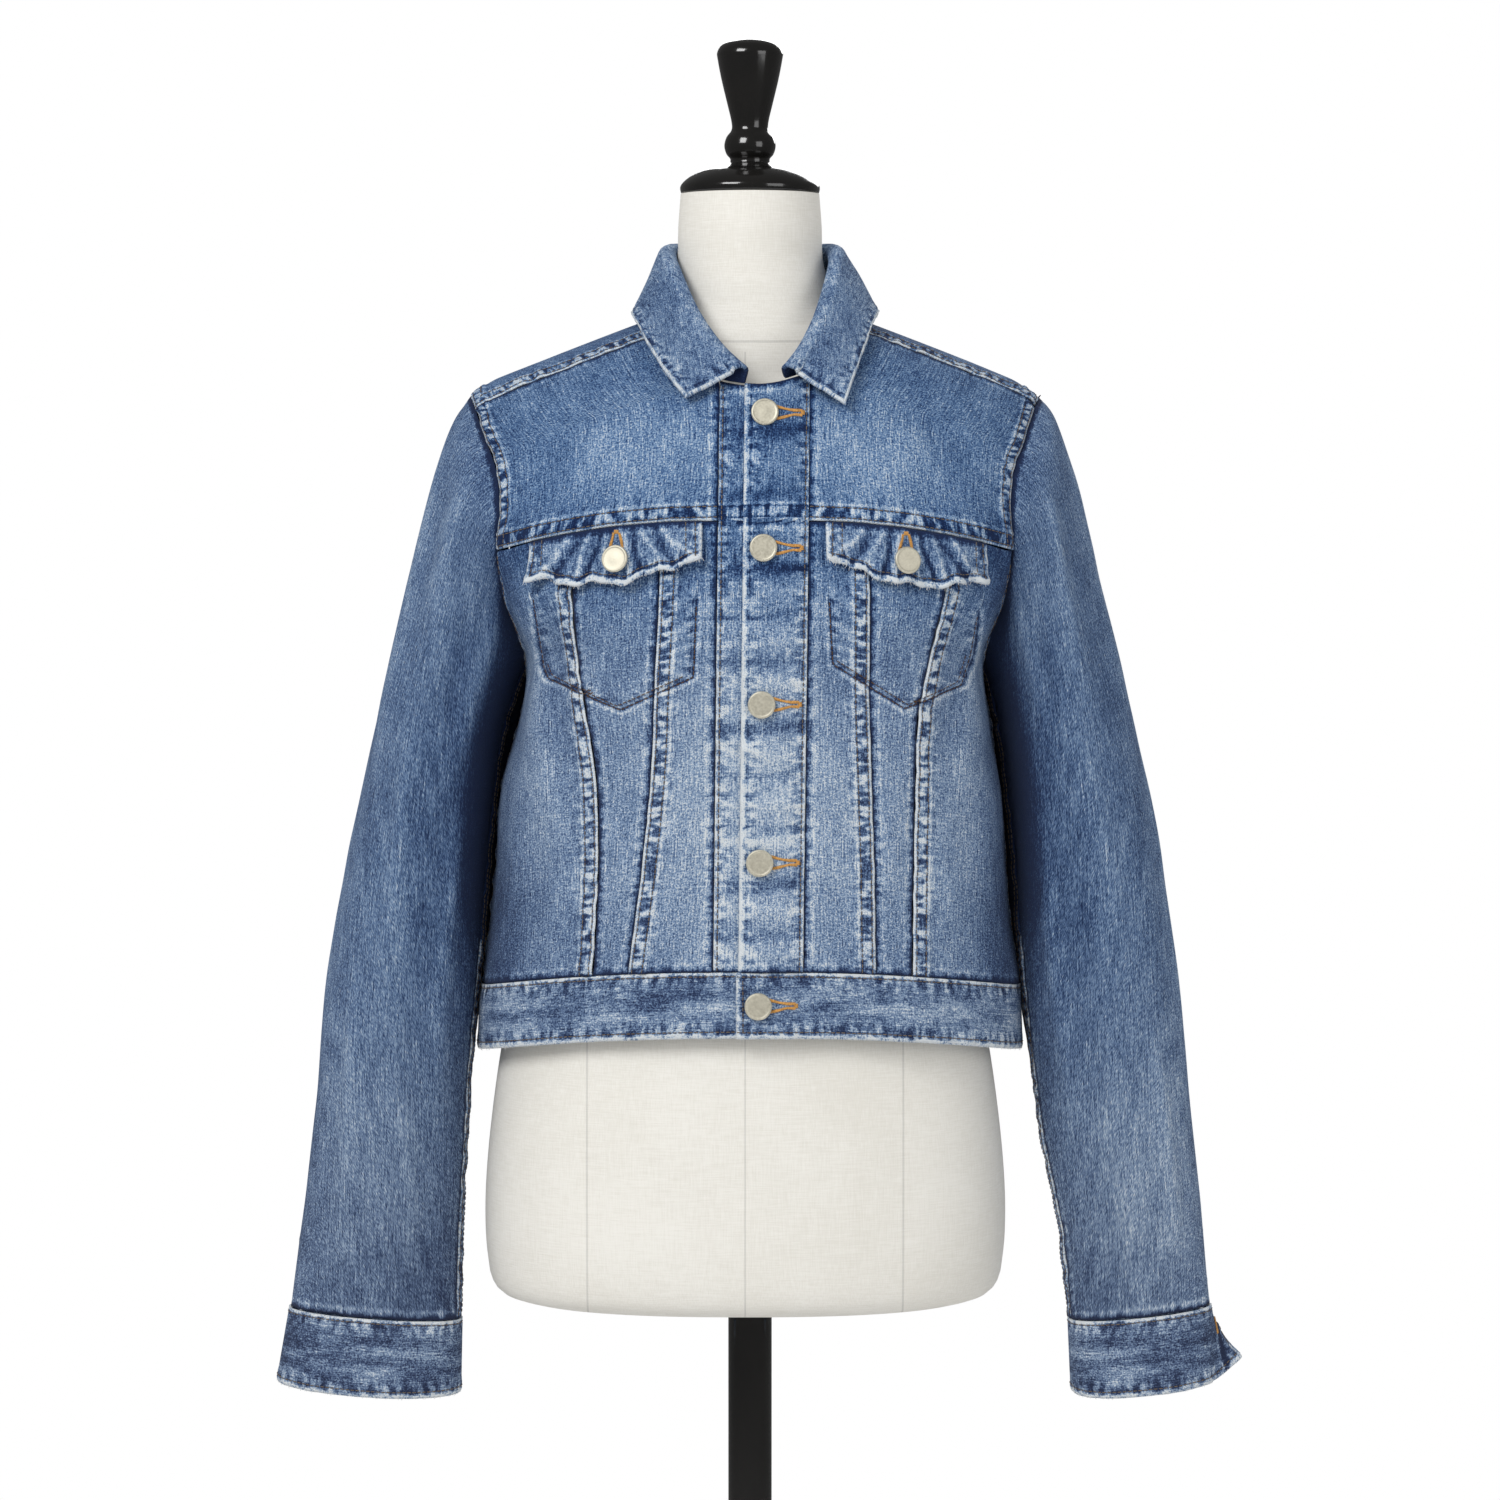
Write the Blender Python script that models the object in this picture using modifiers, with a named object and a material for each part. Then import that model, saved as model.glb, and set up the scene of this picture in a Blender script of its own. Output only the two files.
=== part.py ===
"""A cropped denim trucker jacket, buttoned on a limbless dress form with a turned cap, pole and base.

Metres, +Z up. The floor is z = 0 and the form's pole is the Z axis. The front faces -Y, so that
the wearer's left is +X.
"""

import math
from collections import namedtuple

import bmesh
import bpy
from mathutils import Vector

# Cloth
DENIM = 0.0018  # a panel of denim
BAND = 0.0024  # folded pieces: placket, collar, cuffs, waistband and flaps
LINING = 0.0008  # the pocket bags' thin cotton
SEAM_GAP = 0.0003
FELL_WIDTH = 0.0110  # a felled seam's twin-needle strip
FELL_STEP = 0.0012  # where the strip comes down to its panel
FELL_RISE = 0.0008  # how far the strip stands out of its panel
LAP = 0.0004  # the air between two layers that lie on each other

# Shoulders: a straight slope from neck to arm, with its last part bent down towards the sleeve
RIDGE_X, RIDGE_Z = 0.0986, 1.3500
TIP_X_MOST = 0.19  # past every shoulder's tip
RIDGE_SLOPE = 0.40
RIDGE_ROUND = 0.030  # rounds the ridge's peak at the neck
RIDGE_BEND_X, RIDGE_BEND = 0.162, 16.0
SHOULDER_DROP = 0.110  # height over which the shoulder turns into chest and back
SHOULDER_SEAM_ANGLE = {1: 0.38, -1: 0.48}  # how far the back yoke comes over the ridge, in radians

# The neckline, as seen from above, with its turn down the chest and the back in radians
NECK_HALF = 0.0645
NECK_FRONT, NECK_BACK = 1.111, 0.567

# Seams across the body
YOKE_FRONT_Z, YOKE_FRONT_FALL = 1.2352, 1.105  # the fall is per metre squared, past the flat part
YOKE_FRONT_FLAT = 0.03  # how far from the centre the front yoke seam is level
YOKE_BACK_Z, YOKE_BACK_FALL = 1.2350, 0.25
HEM_Z, HEM_FRONT_RISE = 0.8975, 0.0190
BAND_HEIGHT = 0.0410
ARMPIT_Z, SHOULDER_TIP_Z = 1.1500, 1.3135
ARM_MIDDLE_Z = (ARMPIT_Z + SHOULDER_TIP_Z) / 2

# Heights near which a seam's place across the body is read
ARMHOLE_CORNER_Z = 1.215  # the yoke seams at the armhole
FRONT_TOP_Z, FRONT_SIDE_TOP_Z = 1.23, 1.22  # the lower fronts under the yoke
NECK_CORNER_Z = 1.322  # the neckline beside the placket
PLACKET_TOP_Z = 1.318
YOKE_MIDDLE_Z = 1.28
POCKET_Z = 1.2

# Button placket, measured from the centre front line
CENTRE_X_LOW, CENTRE_X_SLOPE, CENTRE_Z_LOW = 0.0049, 0.0113, 0.930
UPPER_FOLD, UPPER_SEWN = -0.0125, 0.0275
UNDER_SEWN, UNDER_FOLD = -0.0280, 0.0125
LAP_SHARE = 0.66  # of the upper placket, which comes down to its panel past it
LAPPED_RISE = BAND + LAP
BUTTON_RADIUS = 0.0085
BUTTON_HEIGHTS = (1.3015, 1.2190, 1.1235, 1.0258)
WAIST_BUTTON_Z = 0.9370
BAND_LAP_SHARE = 0.72  # of the waistband's lapped end
BAND_STEP_SHARE = 0.03  # of the whole band, where its inner end goes under

# Pocket flaps and bags
FLAP_INNER = {1: 0.0460, -1: 0.0290}
FLAP_WIDTH = {1: 0.0985, -1: 0.1050}
FLAP_SIDE_DROP, FLAP_POINT_DROP = 0.0225, 0.0345
FLAP_RISE = FELL_RISE + LAP + BAND
FLAP_CURL = 0.0030
FLAP_BUTTON_DROP = 0.020  # below the yoke seam
BAG_SIDE_Z, BAG_POINT_Z = 1.1430, 1.1245
BAG_INSET = 0.0030
BAG_RISE = -0.0039  # behind the panels, clear of their facets

# The way the worn jacket has moved sideways on its form, above the waist
LEAN, LEAN_LOW_Z, LEAN_HIGH_Z = 0.0030, 0.950, 1.150

NAMES = {1: "left", -1: "right"}

Section = namedtuple("Section", "z half_width front back square")
BODY = (
    Section(0.880, 0.1740, 0.1175, 0.1120, 2.3),
    Section(0.935, 0.1720, 0.1175, 0.1125, 2.3),
    Section(1.000, 0.1640, 0.1190, 0.1130, 2.4),
    Section(1.050, 0.1590, 0.1215, 0.1130, 2.5),
    Section(1.100, 0.1505, 0.1260, 0.1140, 2.7),
    Section(1.150, 0.1425, 0.1300, 0.1150, 2.8),
    Section(1.185, 0.1617, 0.1310, 0.1155, 2.8),
    Section(1.225, 0.1738, 0.1270, 0.1150, 2.8),
    Section(1.265, 0.1785, 0.1170, 0.1100, 2.8),
    Section(1.300, 0.1835, 0.1040, 0.1000, 2.8),
    Section(1.340, 0.1940, 0.0830, 0.0760, 2.8),
    Section(1.380, 0.2000, 0.0600, 0.0450, 2.8),
)

# The armhole seam, as a share of the body's half width at each height
Armhole = namedtuple("Armhole", "z share")
ARMHOLE = (
    Armhole(1.1500, 1.000),
    Armhole(1.1650, 0.985),
    Armhole(1.1850, 0.962),
    Armhole(1.2150, 0.932),
    Armhole(1.2400, 0.901),
    Armhole(1.2670, 0.901),
    Armhole(1.2880, 0.934),
    Armhole(1.3135, 0.966),
)

# The two upright seams of each front, from the middle of the body: a is the inner, b the outer
Seams = namedtuple("Seams", "z right_a right_b left_a left_b")
FRONT_SEAMS = (
    Seams(0.955, -0.0755, -0.0975, 0.0780, 0.1004),
    Seams(1.020, -0.0670, -0.0938, 0.0768, 0.1015),
    Seams(1.080, -0.0610, -0.0950, 0.0748, 0.1025),
    Seams(1.120, -0.0590, -0.1015, 0.0736, 0.1040),
    Seams(1.160, -0.0570, -0.1065, 0.0730, 0.1120),
    Seams(1.190, -0.0557, -0.1090, 0.0729, 0.1195),
    Seams(1.240, -0.0545, -0.1110, 0.0729, 0.1230),
)
BACK_SEAM_LOW, BACK_SEAM_HIGH = 0.062, 0.100  # from the centre back, at these two heights
BACK_SEAM_LOW_Z, BACK_SEAM_HIGH_Z = 0.940, 1.235

# Each sleeve's sections from armhole to wrist: inner faces the body, outer faces away
Sleeve = namedtuple("Sleeve", "number inner_x inner_z outer_x outer_z depth y")
SLEEVES = {
    -1: (
        Sleeve(0, 0.1395, 1.1500, 0.1770, 1.3135, 0.0720, 0.000),
        Sleeve(1, 0.1440, 1.1400, 0.1890, 1.2985, 0.0715, 0.000),
        Sleeve(2, 0.1490, 1.1270, 0.1995, 1.2680, 0.0700, 0.000),
        Sleeve(3, 0.1545, 1.1100, 0.2110, 1.2220, 0.0675, 0.000),
        Sleeve(4, 0.1590, 1.0900, 0.2240, 1.1700, 0.0650, 0.000),
        Sleeve(5, 0.1625, 1.0620, 0.2375, 1.1080, 0.0625, -0.001),
        Sleeve(6, 0.1665, 1.0220, 0.2495, 1.0480, 0.0590, -0.003),
        Sleeve(7, 0.1712, 0.9650, 0.2610, 0.9850, 0.0545, -0.006),
        Sleeve(8, 0.1765, 0.9050, 0.2715, 0.9210, 0.0485, -0.009),
        Sleeve(9, 0.1805, 0.8450, 0.2790, 0.8580, 0.0415, -0.012),
        Sleeve(10, 0.1840, 0.7850, 0.2860, 0.7960, 0.0340, -0.014),
        Sleeve(11, 0.1850, 0.7245, 0.2945, 0.7325, 0.0285, -0.015),
    ),
    1: (
        Sleeve(0, 0.1455, 1.1500, 0.1830, 1.3135, 0.0720, 0.000),
        Sleeve(1, 0.1490, 1.1400, 0.1945, 1.2985, 0.0715, 0.000),
        Sleeve(2, 0.1530, 1.1270, 0.2040, 1.2680, 0.0700, 0.000),
        Sleeve(3, 0.1570, 1.1100, 0.2150, 1.2220, 0.0675, 0.000),
        Sleeve(4, 0.1600, 1.0900, 0.2280, 1.1700, 0.0650, 0.000),
        Sleeve(5, 0.1635, 1.0620, 0.2430, 1.1080, 0.0625, -0.001),
        Sleeve(6, 0.1680, 1.0220, 0.2555, 1.0480, 0.0590, -0.003),
        Sleeve(7, 0.1720, 0.9650, 0.2655, 0.9850, 0.0545, -0.006),
        Sleeve(8, 0.1775, 0.9050, 0.2738, 0.9210, 0.0485, -0.009),
        Sleeve(9, 0.1855, 0.8450, 0.2815, 0.8580, 0.0415, -0.012),
        Sleeve(10, 0.1975, 0.7850, 0.2888, 0.7960, 0.0340, -0.014),
        Sleeve(11, 0.2040, 0.7245, 0.2950, 0.7340, 0.0285, -0.015),
    ),
}
SLEEVE_SQUARE = 2.2
SLEEVE_START = 0.180  # where the sleeve begins, past the armhole seam, in sections
SLEEVE_END = 10.995
FRONT_SLEEVE_SEAM = (150.0, 163.0)  # at the armhole and at the wrist, in degrees from the outer side
BACK_SLEEVE_SEAM = (-70.0, -25.0)
SLEEVE_SEAM_GAP = 0.004  # half the gap at a sleeve's seams, in radians
CUFF_HEIGHT = 0.0470
CUFF_SLANT = {1: (0.0022, 0.0045), -1: (0.0012, 0.0085)}  # how far its inner and outer ends go out
CUFF_RISE = 0.0008
CUFF_DIP = 0.0030
CUFF_SLIT = 5.0  # degrees left open at the slit
CUFF_FLARE, CUFF_FLARE_FROM = Vector((0.0190, -0.0140, 0.0150)), 20.0  # the left cuff's loose corner
CUFF_BUTTON_ANGLE = -48.0
CUFF_BUTTON_LIFT = -0.0001

# The collar from the centre back (place 0) to its front ends (place 1)
Collar = namedtuple("Collar", "place roll_x roll_y roll_z edge_x edge_angle")
COLLAR = (
    Collar(0.00, 0.0000, 0.0575, 1.4085, 0.0000, 0.72),
    Collar(0.25, 0.0375, 0.0430, 1.4090, 0.0500, 0.60),
    Collar(0.50, 0.0524, 0.0020, 1.4065, 0.0740, 0.00),
    Collar(0.65, 0.0500, -0.0330, 1.3940, 0.0680, -0.54),
    Collar(0.80, 0.0405, -0.0640, 1.3660, 0.0600, -0.84),
    Collar(0.90, 0.0290, -0.0830, 1.3455, 0.0540, -1.00),
    Collar(1.00, 0.0155, -0.1000, 1.3290, 0.0480, -1.135),
)
COLLAR_END_BETA = math.radians(13.2)
COLLAR_ROLL_RADIUS = 0.0036
COLLAR_LIFT = 0.0058  # how far its free edge lies off the shoulder
COLLAR_SEAT = 0.0009
COLLAR_ROLL_SHIFT = 0.0010

# The dress form, its stand and the turned pieces on its neck
Form = namedtuple("Form", "z half_width front back square")
FORM_X = -0.0030
FORM_HIPS_Z, FORM_CHEST_Z = 0.95, 1.25  # between these its middle moves over to the jacket's
FORM_NECK_LOW_Z, FORM_NECK_HIGH_Z = 1.36, 1.40  # and between these to the stand's
FORM_BELOW = (
    Form(0.7380, 0.1450, 0.0900, 0.0950, 2.4),
    Form(0.7415, 0.1560, 0.1000, 0.1060, 2.4),
    Form(0.7490, 0.1625, 0.1055, 0.1120, 2.4),
    Form(0.7600, 0.1650, 0.1080, 0.1150, 2.4),
    Form(0.7800, 0.1668, 0.1095, 0.1170, 2.4),
    Form(0.8100, 0.1665, 0.1095, 0.1180, 2.4),
    Form(0.8500, 0.1630, 0.1085, 0.1150, 2.4),
    Form(0.9000, 0.1560, 0.1060, 0.1060, 2.3),
    Form(0.9500, 0.1460, 0.1010, 0.0980, 2.3),
    Form(1.0100, 0.1310, 0.0950, 0.0880, 2.2),
    Form(1.0600, 0.1260, 0.0950, 0.0860, 2.2),
    Form(1.1100, 0.1290, 0.1040, 0.0900, 2.3),
    Form(1.1550, 0.1320, 0.1150, 0.0980, 2.4),
    Form(1.1950, 0.1380, 0.1170, 0.1020, 2.4),
    Form(1.2350, 0.1460, 0.1080, 0.1010, 2.4),
    Form(1.2700, 0.1510, 0.0940, 0.0930, 2.4),
    Form(1.2980, 0.1540, 0.0790, 0.0800, 2.3),
    Form(1.3150, 0.1530, 0.0690, 0.0700, 2.2),
)
FORM_SHOULDER_HEIGHTS = (1.3240, 1.3310, 1.3380, 1.3450, 1.3520, 1.3575)
FORM_SHOULDER_FRONT, FORM_SHOULDER_BACK = (0.0620, 0.0530), (0.0600, 0.0500)
FORM_SEAT = 0.0037  # cloth and the air under it, where the shoulders carry the jacket
FORM_NECK = (
    Form(1.3615, 0.0600, 0.0520, 0.0495, 2.1),
    Form(1.3700, 0.0540, 0.0500, 0.0490, 2.0),
    Form(1.3820, 0.0505, 0.0485, 0.0480, 2.0),
    Form(1.4000, 0.0462, 0.0462, 0.0466, 2.0),
    Form(1.4200, 0.0456, 0.0455, 0.0460, 2.0),
    Form(1.4412, 0.0440, 0.0440, 0.0444, 2.0),
)
FORM_SIDES = 26
POLE_RADIUS, POLE_SIDES = 0.0140, 24
Turned = namedtuple("Turned", "radius z")
NECK_CAP = (
    Turned(0.0000, 1.4608),
    Turned(0.0130, 1.4608),
    Turned(0.0195, 1.4588),
    Turned(0.0300, 1.4560),
    Turned(0.0390, 1.4515),
    Turned(0.0440, 1.4465),
    Turned(0.0440, 1.4425),
    Turned(0.0430, 1.4416),
    Turned(0.0000, 1.4416),
)
FINIAL = (
    Turned(0.0000, 1.5400),
    Turned(0.0110, 1.5380),
    Turned(0.0180, 1.5350),
    Turned(0.0208, 1.5305),
    Turned(0.0205, 1.5260),
    Turned(0.0180, 1.5130),
    Turned(0.0145, 1.4985),
    Turned(0.0118, 1.4870),
    Turned(0.0118, 1.4815),
    Turned(0.0150, 1.4770),
    Turned(0.0163, 1.4716),
    Turned(0.0150, 1.4665),
    Turned(0.0126, 1.4635),
    Turned(0.0126, 1.4611),
    Turned(0.0000, 1.4611),
)
BASE = (
    Turned(0.0000, 0.0340),
    Turned(0.0210, 0.0340),
    Turned(0.0230, 0.0320),
    Turned(0.0245, 0.0180),
    Turned(0.0320, 0.0150),
    Turned(0.1000, 0.0120),
    Turned(0.1620, 0.0080),
    Turned(0.1690, 0.0050),
    Turned(0.1700, 0.0020),
    Turned(0.1690, 0.0000),
    Turned(0.0000, 0.0000),
)
BUTTON = (
    Turned(0.0000, 0.0032),
    Turned(0.0066, 0.0032),
    Turned(BUTTON_RADIUS, 0.0024),
    Turned(0.0080, 0.0013),
    Turned(0.0036, 0.0010),
    Turned(0.0036, 0.0000),
    Turned(0.0000, 0.0000),
)

COLOURS = {
    "denim": ((0.115, 0.190, 0.340), 0.85, 0.0),
    "cotton": ((0.780, 0.740, 0.660), 0.90, 0.0),
    "nickel": ((0.620, 0.590, 0.520), 0.35, 1.0),
    "linen": ((0.860, 0.835, 0.780), 0.90, 0.0),
    "black lacquer": ((0.012, 0.011, 0.010), 0.12, 0.0),
}
STEP = 1e-4  # for a surface's slope
SAME = 1e-6  # two places this near each other are one


def read(table, at, column):
    """One column of a table at a place between its rows, on a smooth curve through them."""
    keys = [row[0] for row in table]
    values = [getattr(row, column) for row in table]
    at = min(max(at, keys[0]), keys[-1])
    low = max(i for i in range(len(keys) - 1) if keys[i] <= at)
    span = keys[low + 1] - keys[low]

    def slope(i):
        before, after = max(i - 1, 0), min(i + 1, len(keys) - 1)
        return (values[after] - values[before]) / (keys[after] - keys[before])

    t = (at - keys[low]) / span
    straight = values[low] * (1 + 2 * t) * (1 - t) ** 2 + values[low + 1] * t * t * (3 - 2 * t)
    return straight + span * (slope(low) * t * (1 - t) ** 2 - slope(low + 1) * t * t * (1 - t))


def mix(start, end, share):
    return start * (1 - share) + end * share


def ease(at, low, high):
    """0 below low, 1 above high, and a smooth way between."""
    t = min(max((at - low) / (high - low), 0.0), 1.0)
    return t * t * (3 - 2 * t)


# The body's outer surface


def lean(z):
    return LEAN * ease(z, LEAN_LOW_Z, LEAN_HIGH_Z)


def ridge(x):
    """Height of the shoulder's ridge."""
    along = math.hypot(x, RIDGE_ROUND) - math.hypot(RIDGE_X, RIDGE_ROUND)
    past = max(abs(x) - RIDGE_BEND_X, 0.0)
    return RIDGE_Z - RIDGE_SLOPE * along - RIDGE_BEND * past**2


def ridge_x(z):
    """Where the ridge has this height."""
    low, high = 0.0, TIP_X_MOST
    for _ in range(40):
        middle = (low + high) / 2
        low, high = (middle, high) if ridge(middle) > z else (low, middle)
    return low


def fullness(drop):
    """Share of the full depth at this far below the ridge."""
    share = min(max(drop / SHOULDER_DROP, 0.0), 1.0)
    return math.sqrt(1 - (1 - share) ** 2)


def drop_of(angle):
    turn = abs(angle)
    if turn < math.pi / 2:
        return SHOULDER_DROP * (1 - math.cos(turn))
    return SHOULDER_DROP * (1 + turn - math.pi / 2)


def angle_of(drop):
    if drop < SHOULDER_DROP:
        return math.acos(1 - max(drop, 0.0) / SHOULDER_DROP)
    return math.pi / 2 + drop / SHOULDER_DROP - 1


def torso(x, z, side):
    """A point of the jacket's outer surface, x from its middle: side -1 is the front, 1 the back."""
    half_width = read(BODY, z, "half_width")
    square = read(BODY, z, "square")
    depth = read(BODY, z, "front" if side < 0 else "back")
    across = max(1 - abs(x / half_width) ** square, 0.0) ** (1 / square)
    over = fullness(ridge(x) - z) / fullness(ridge(0) - z)
    return Vector((x + lean(z), side * depth * across * over, z))


def over_shoulder(x, angle):
    """The same surface by its turn over the ridge: negative to the front, positive to the back."""
    return torso(x, ridge(x) - drop_of(angle), -1 if angle < 0 else 1)


def around(turn, z):
    """The same surface by its turn round the body: 0 at the front, a quarter at the left side."""
    sine, cosine = math.sin(turn), math.cos(turn)
    reach = abs(sine) ** (2 / read(BODY, z, "square"))
    return torso(math.copysign(read(BODY, z, "half_width") * reach, sine), z, -1 if cosine > 0 else 1)


def turn_of(x, z):
    """The turn round the body of a point on the front."""
    share = min(abs(x) / read(BODY, z, "half_width"), 1.0)
    return math.copysign(math.asin(share ** (read(BODY, z, "square") / 2)), x)


def armhole_x(z):
    return read(ARMHOLE, z, "share") * read(BODY, z, "half_width")


def arm_turn(z):
    """The turn round the armhole from the shoulder's tip, as far as the armpit at half a turn."""
    return math.acos(min((z - ARM_MIDDLE_Z) / (SHOULDER_TIP_Z - ARM_MIDDLE_Z), 1.0))


def arm_turn_z(turn):
    return ARM_MIDDLE_Z + (SHOULDER_TIP_Z - ARM_MIDDLE_Z) * math.cos(turn)


def seam_tip(side):
    """Where the forward shoulder seam meets the armhole, as x and the turn over the ridge."""
    drop = drop_of(SHOULDER_SEAM_ANGLE[side])
    low, high = RIDGE_X, TIP_X_MOST
    for _ in range(40):
        x = (low + high) / 2
        low, high = (x, high) if armhole_x(ridge(x) - drop) > x else (low, x)
    return Vector((low, -SHOULDER_SEAM_ANGLE[side]))


def centre_x(z):
    """The centre front line, from the body's middle."""
    return CENTRE_X_LOW + CENTRE_X_SLOPE * (z - CENTRE_Z_LOW) - lean(z)


def hem_z(turn):
    return HEM_Z + HEM_FRONT_RISE * max(math.cos(turn), 0.0) ** 1.5


def band_top(turn):
    return hem_z(turn) + BAND_HEIGHT


def yoke_front_z(x):
    return YOKE_FRONT_Z - YOKE_FRONT_FALL * max(abs(x) - YOKE_FRONT_FLAT, 0.0) ** 2


def yoke_back_z(x):
    return YOKE_BACK_Z - YOKE_BACK_FALL * x * x


def neck_angle(x):
    """The neckline's turn over the ridge on the front."""
    return -NECK_FRONT * math.sqrt(max(1 - (x / NECK_HALF) ** 2, 0.0))


# Sheets of cloth


def stations(*stops):
    """Places from 0 to 1 at the stops given as (place, steps up to it)."""
    places = [0.0]
    for place, steps in stops:
        start = places[-1]
        places += [mix(start, place, (i + 1) / steps) for i in range(steps)]
    return places


SHOULDER_PLACES = stations((0.90, 7), (0.91, 1), (1.0, 1))  # across the yokes, from neck to arm


def slope_normal(surface, u, v):
    along_u = surface(min(u + STEP, 1), v) - surface(max(u - STEP, 0), v)
    along_v = surface(u, min(v + STEP, 1)) - surface(u, max(v - STEP, 0))
    return along_u.cross(along_v).normalized()


def body_core(point):
    """A place inside the body, from which its surface faces away."""
    return Vector((point.x / 2, 0, point.z - 0.05))


def material(name):
    made = bpy.data.materials.get(name)
    if made is None:
        colour, roughness, metallic = COLOURS[name]
        made = bpy.data.materials.new(name)
        made.use_nodes = True
        shader = made.node_tree.nodes["Principled BSDF"]
        shader.inputs["Base Color"].default_value = (*colour, 1)
        shader.inputs["Roughness"].default_value = roughness
        shader.inputs["Metallic"].default_value = metallic
        made.diffuse_color = (*colour, 1)
    return made


def place_object(name, mesh, look):
    mesh.materials.append(material(look))
    piece = bpy.data.objects.new(name, mesh)
    bpy.data.collections["denim_jacket"].objects.link(piece)
    return piece


def sheet(name, surface, columns, rows, thickness, rise=None, core=body_core, look="denim"):
    """A grid laid on a surface(u, v), raised by rise(u, v), and given its thickness inwards."""
    grid = bmesh.new()
    bmesh.ops.create_grid(grid, x_segments=len(columns) - 1, y_segments=len(rows) - 1, size=1.0)
    facing = 1
    if core is not None:
        middle = surface(0.5, 0.5)
        facing = 1 if slope_normal(surface, 0.5, 0.5).dot(middle - core(middle)) > 0 else -1
    for vertex in grid.verts:
        u = columns[round((vertex.co.x + 1) / 2 * (len(columns) - 1))]
        v = rows[round((vertex.co.y + 1) / 2 * (len(rows) - 1))]
        lift = 0.0 if rise is None else rise(u, v)
        vertex.co = surface(u, v) + slope_normal(surface, u, v) * facing * lift
    if facing < 0:
        bmesh.ops.reverse_faces(grid, faces=grid.faces)
    mesh = bpy.data.meshes.new(name)
    grid.to_mesh(mesh)
    grid.free()
    mesh.shade_smooth()
    piece = place_object(name, mesh, look)
    solidify = piece.modifiers.new("Thickness", "SOLIDIFY")
    solidify.thickness = thickness
    solidify.offset = -1
    solidify.use_even_offset = True
    return piece


def patch(bottom, top, start, end):
    """A plane point for each (u, v) inside four border curves, the Coons way."""

    def at(u, v):
        upright = mix(bottom(u), top(u), v)
        level = mix(start(v), end(v), u)
        corners = mix(mix(bottom(0), bottom(1), u), mix(top(0), top(1), u), v)
        return upright + level - corners

    return at


# Fronts

NECK_PLACE = 0.66  # the share of a front yoke's inner border that runs up the placket
YOKE_LENGTH = 0.085  # of a front yoke from its seam to the shoulder, nearly
YOKE_STRIP = FELL_WIDTH / YOKE_LENGTH
FELL_SHARE = FELL_STEP / YOKE_LENGTH
SHOULDER_SEAM_GAP = 0.008  # between the yokes, in radians over the ridge


def front_edge(side, z):
    """Where a front's panels begin, beside the placket, from the body's middle."""
    return centre_x(z) + (UPPER_SEWN if side > 0 else UNDER_SEWN)


def front_yoke(side):
    shoulder_turn = math.acos(SHOULDER_SEAM_ANGLE[side] / NECK_FRONT)
    corner_z = yoke_front_z(armhole_x(ARMHOLE_CORNER_Z))
    tip = seam_tip(side)
    tip_z = ridge(tip.x) - drop_of(tip.y)

    def inner_x(z):
        return abs(front_edge(side, z)) + SEAM_GAP

    neck_turn = math.asin(inner_x(NECK_CORNER_Z) / NECK_HALF)

    def front_point(x, z):
        return Vector((x, -angle_of(ridge(x) - z)))

    def bottom(u):
        x = mix(inner_x(YOKE_FRONT_Z), armhole_x(corner_z), u)
        return front_point(x, yoke_front_z(x) + SEAM_GAP / 2)

    def top(u):
        return Vector((mix(NECK_HALF * math.sin(shoulder_turn), tip.x, u), tip.y))

    def start(v):
        if v < NECK_PLACE:
            low = bottom(0).y
            angle = mix(low, neck_angle(inner_x(NECK_CORNER_Z)), v / NECK_PLACE)
            z = ridge(inner_x(YOKE_MIDDLE_Z)) - drop_of(angle)
            return Vector((inner_x(z), angle))
        turn = mix(neck_turn, shoulder_turn, (v - NECK_PLACE) / (1 - NECK_PLACE))
        return Vector((NECK_HALF * math.sin(turn), -NECK_FRONT * math.cos(turn)))

    def end(v):
        z = mix(corner_z + SEAM_GAP / 2, tip_z, v)
        return front_point(armhole_x(z), z)

    plane = patch(bottom, top, start, end)

    def surface(u, v):
        point = plane(u, v)
        return over_shoulder(side * point.x, point.y - SHOULDER_SEAM_GAP * v)

    def rise(u, v):
        return FELL_RISE if v <= YOKE_STRIP + SAME or u >= SHOULDER_PLACES[-2] - SAME else 0.0

    rows = stations((YOKE_STRIP, 1), (YOKE_STRIP + FELL_SHARE, 1), (NECK_PLACE, 4), (1.0, 3))
    sheet("front_yoke_" + NAMES[side], surface, SHOULDER_PLACES, rows, DENIM, rise)


def upright_panel(start, end, low, high):
    """A surface between two upright seams: start and end give a turn round the body at a height."""

    def surface(u, v):
        bottom, top = low(u), high(u)
        z = mix(bottom, top, v)
        return around(mix(start(z), end(z), u), z)

    return surface


def seam_turn(side, column):
    """The turn round the body of a front seam at a height."""

    def at(z):
        return turn_of(read(FRONT_SEAMS, z, NAMES[side] + column) - lean(z), z)

    return at


def shifted(turn, by):
    """A seam's turn moved along the cloth by a length."""
    return lambda z: turn(z) + by / read(BODY, z, "front")


def front_low(start, end):
    def low(u):
        return band_top(mix(start(FRONT_SEAMS[0].z), end(FRONT_SEAMS[0].z), u)) + LAP

    return low


def front_high(start, end):
    def high(u):
        turn = mix(start(FRONT_TOP_Z), end(FRONT_TOP_Z), u)
        x = around(turn, FRONT_TOP_Z).x - lean(FRONT_TOP_Z)
        return yoke_front_z(x) - SEAM_GAP / 2

    return high


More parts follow.
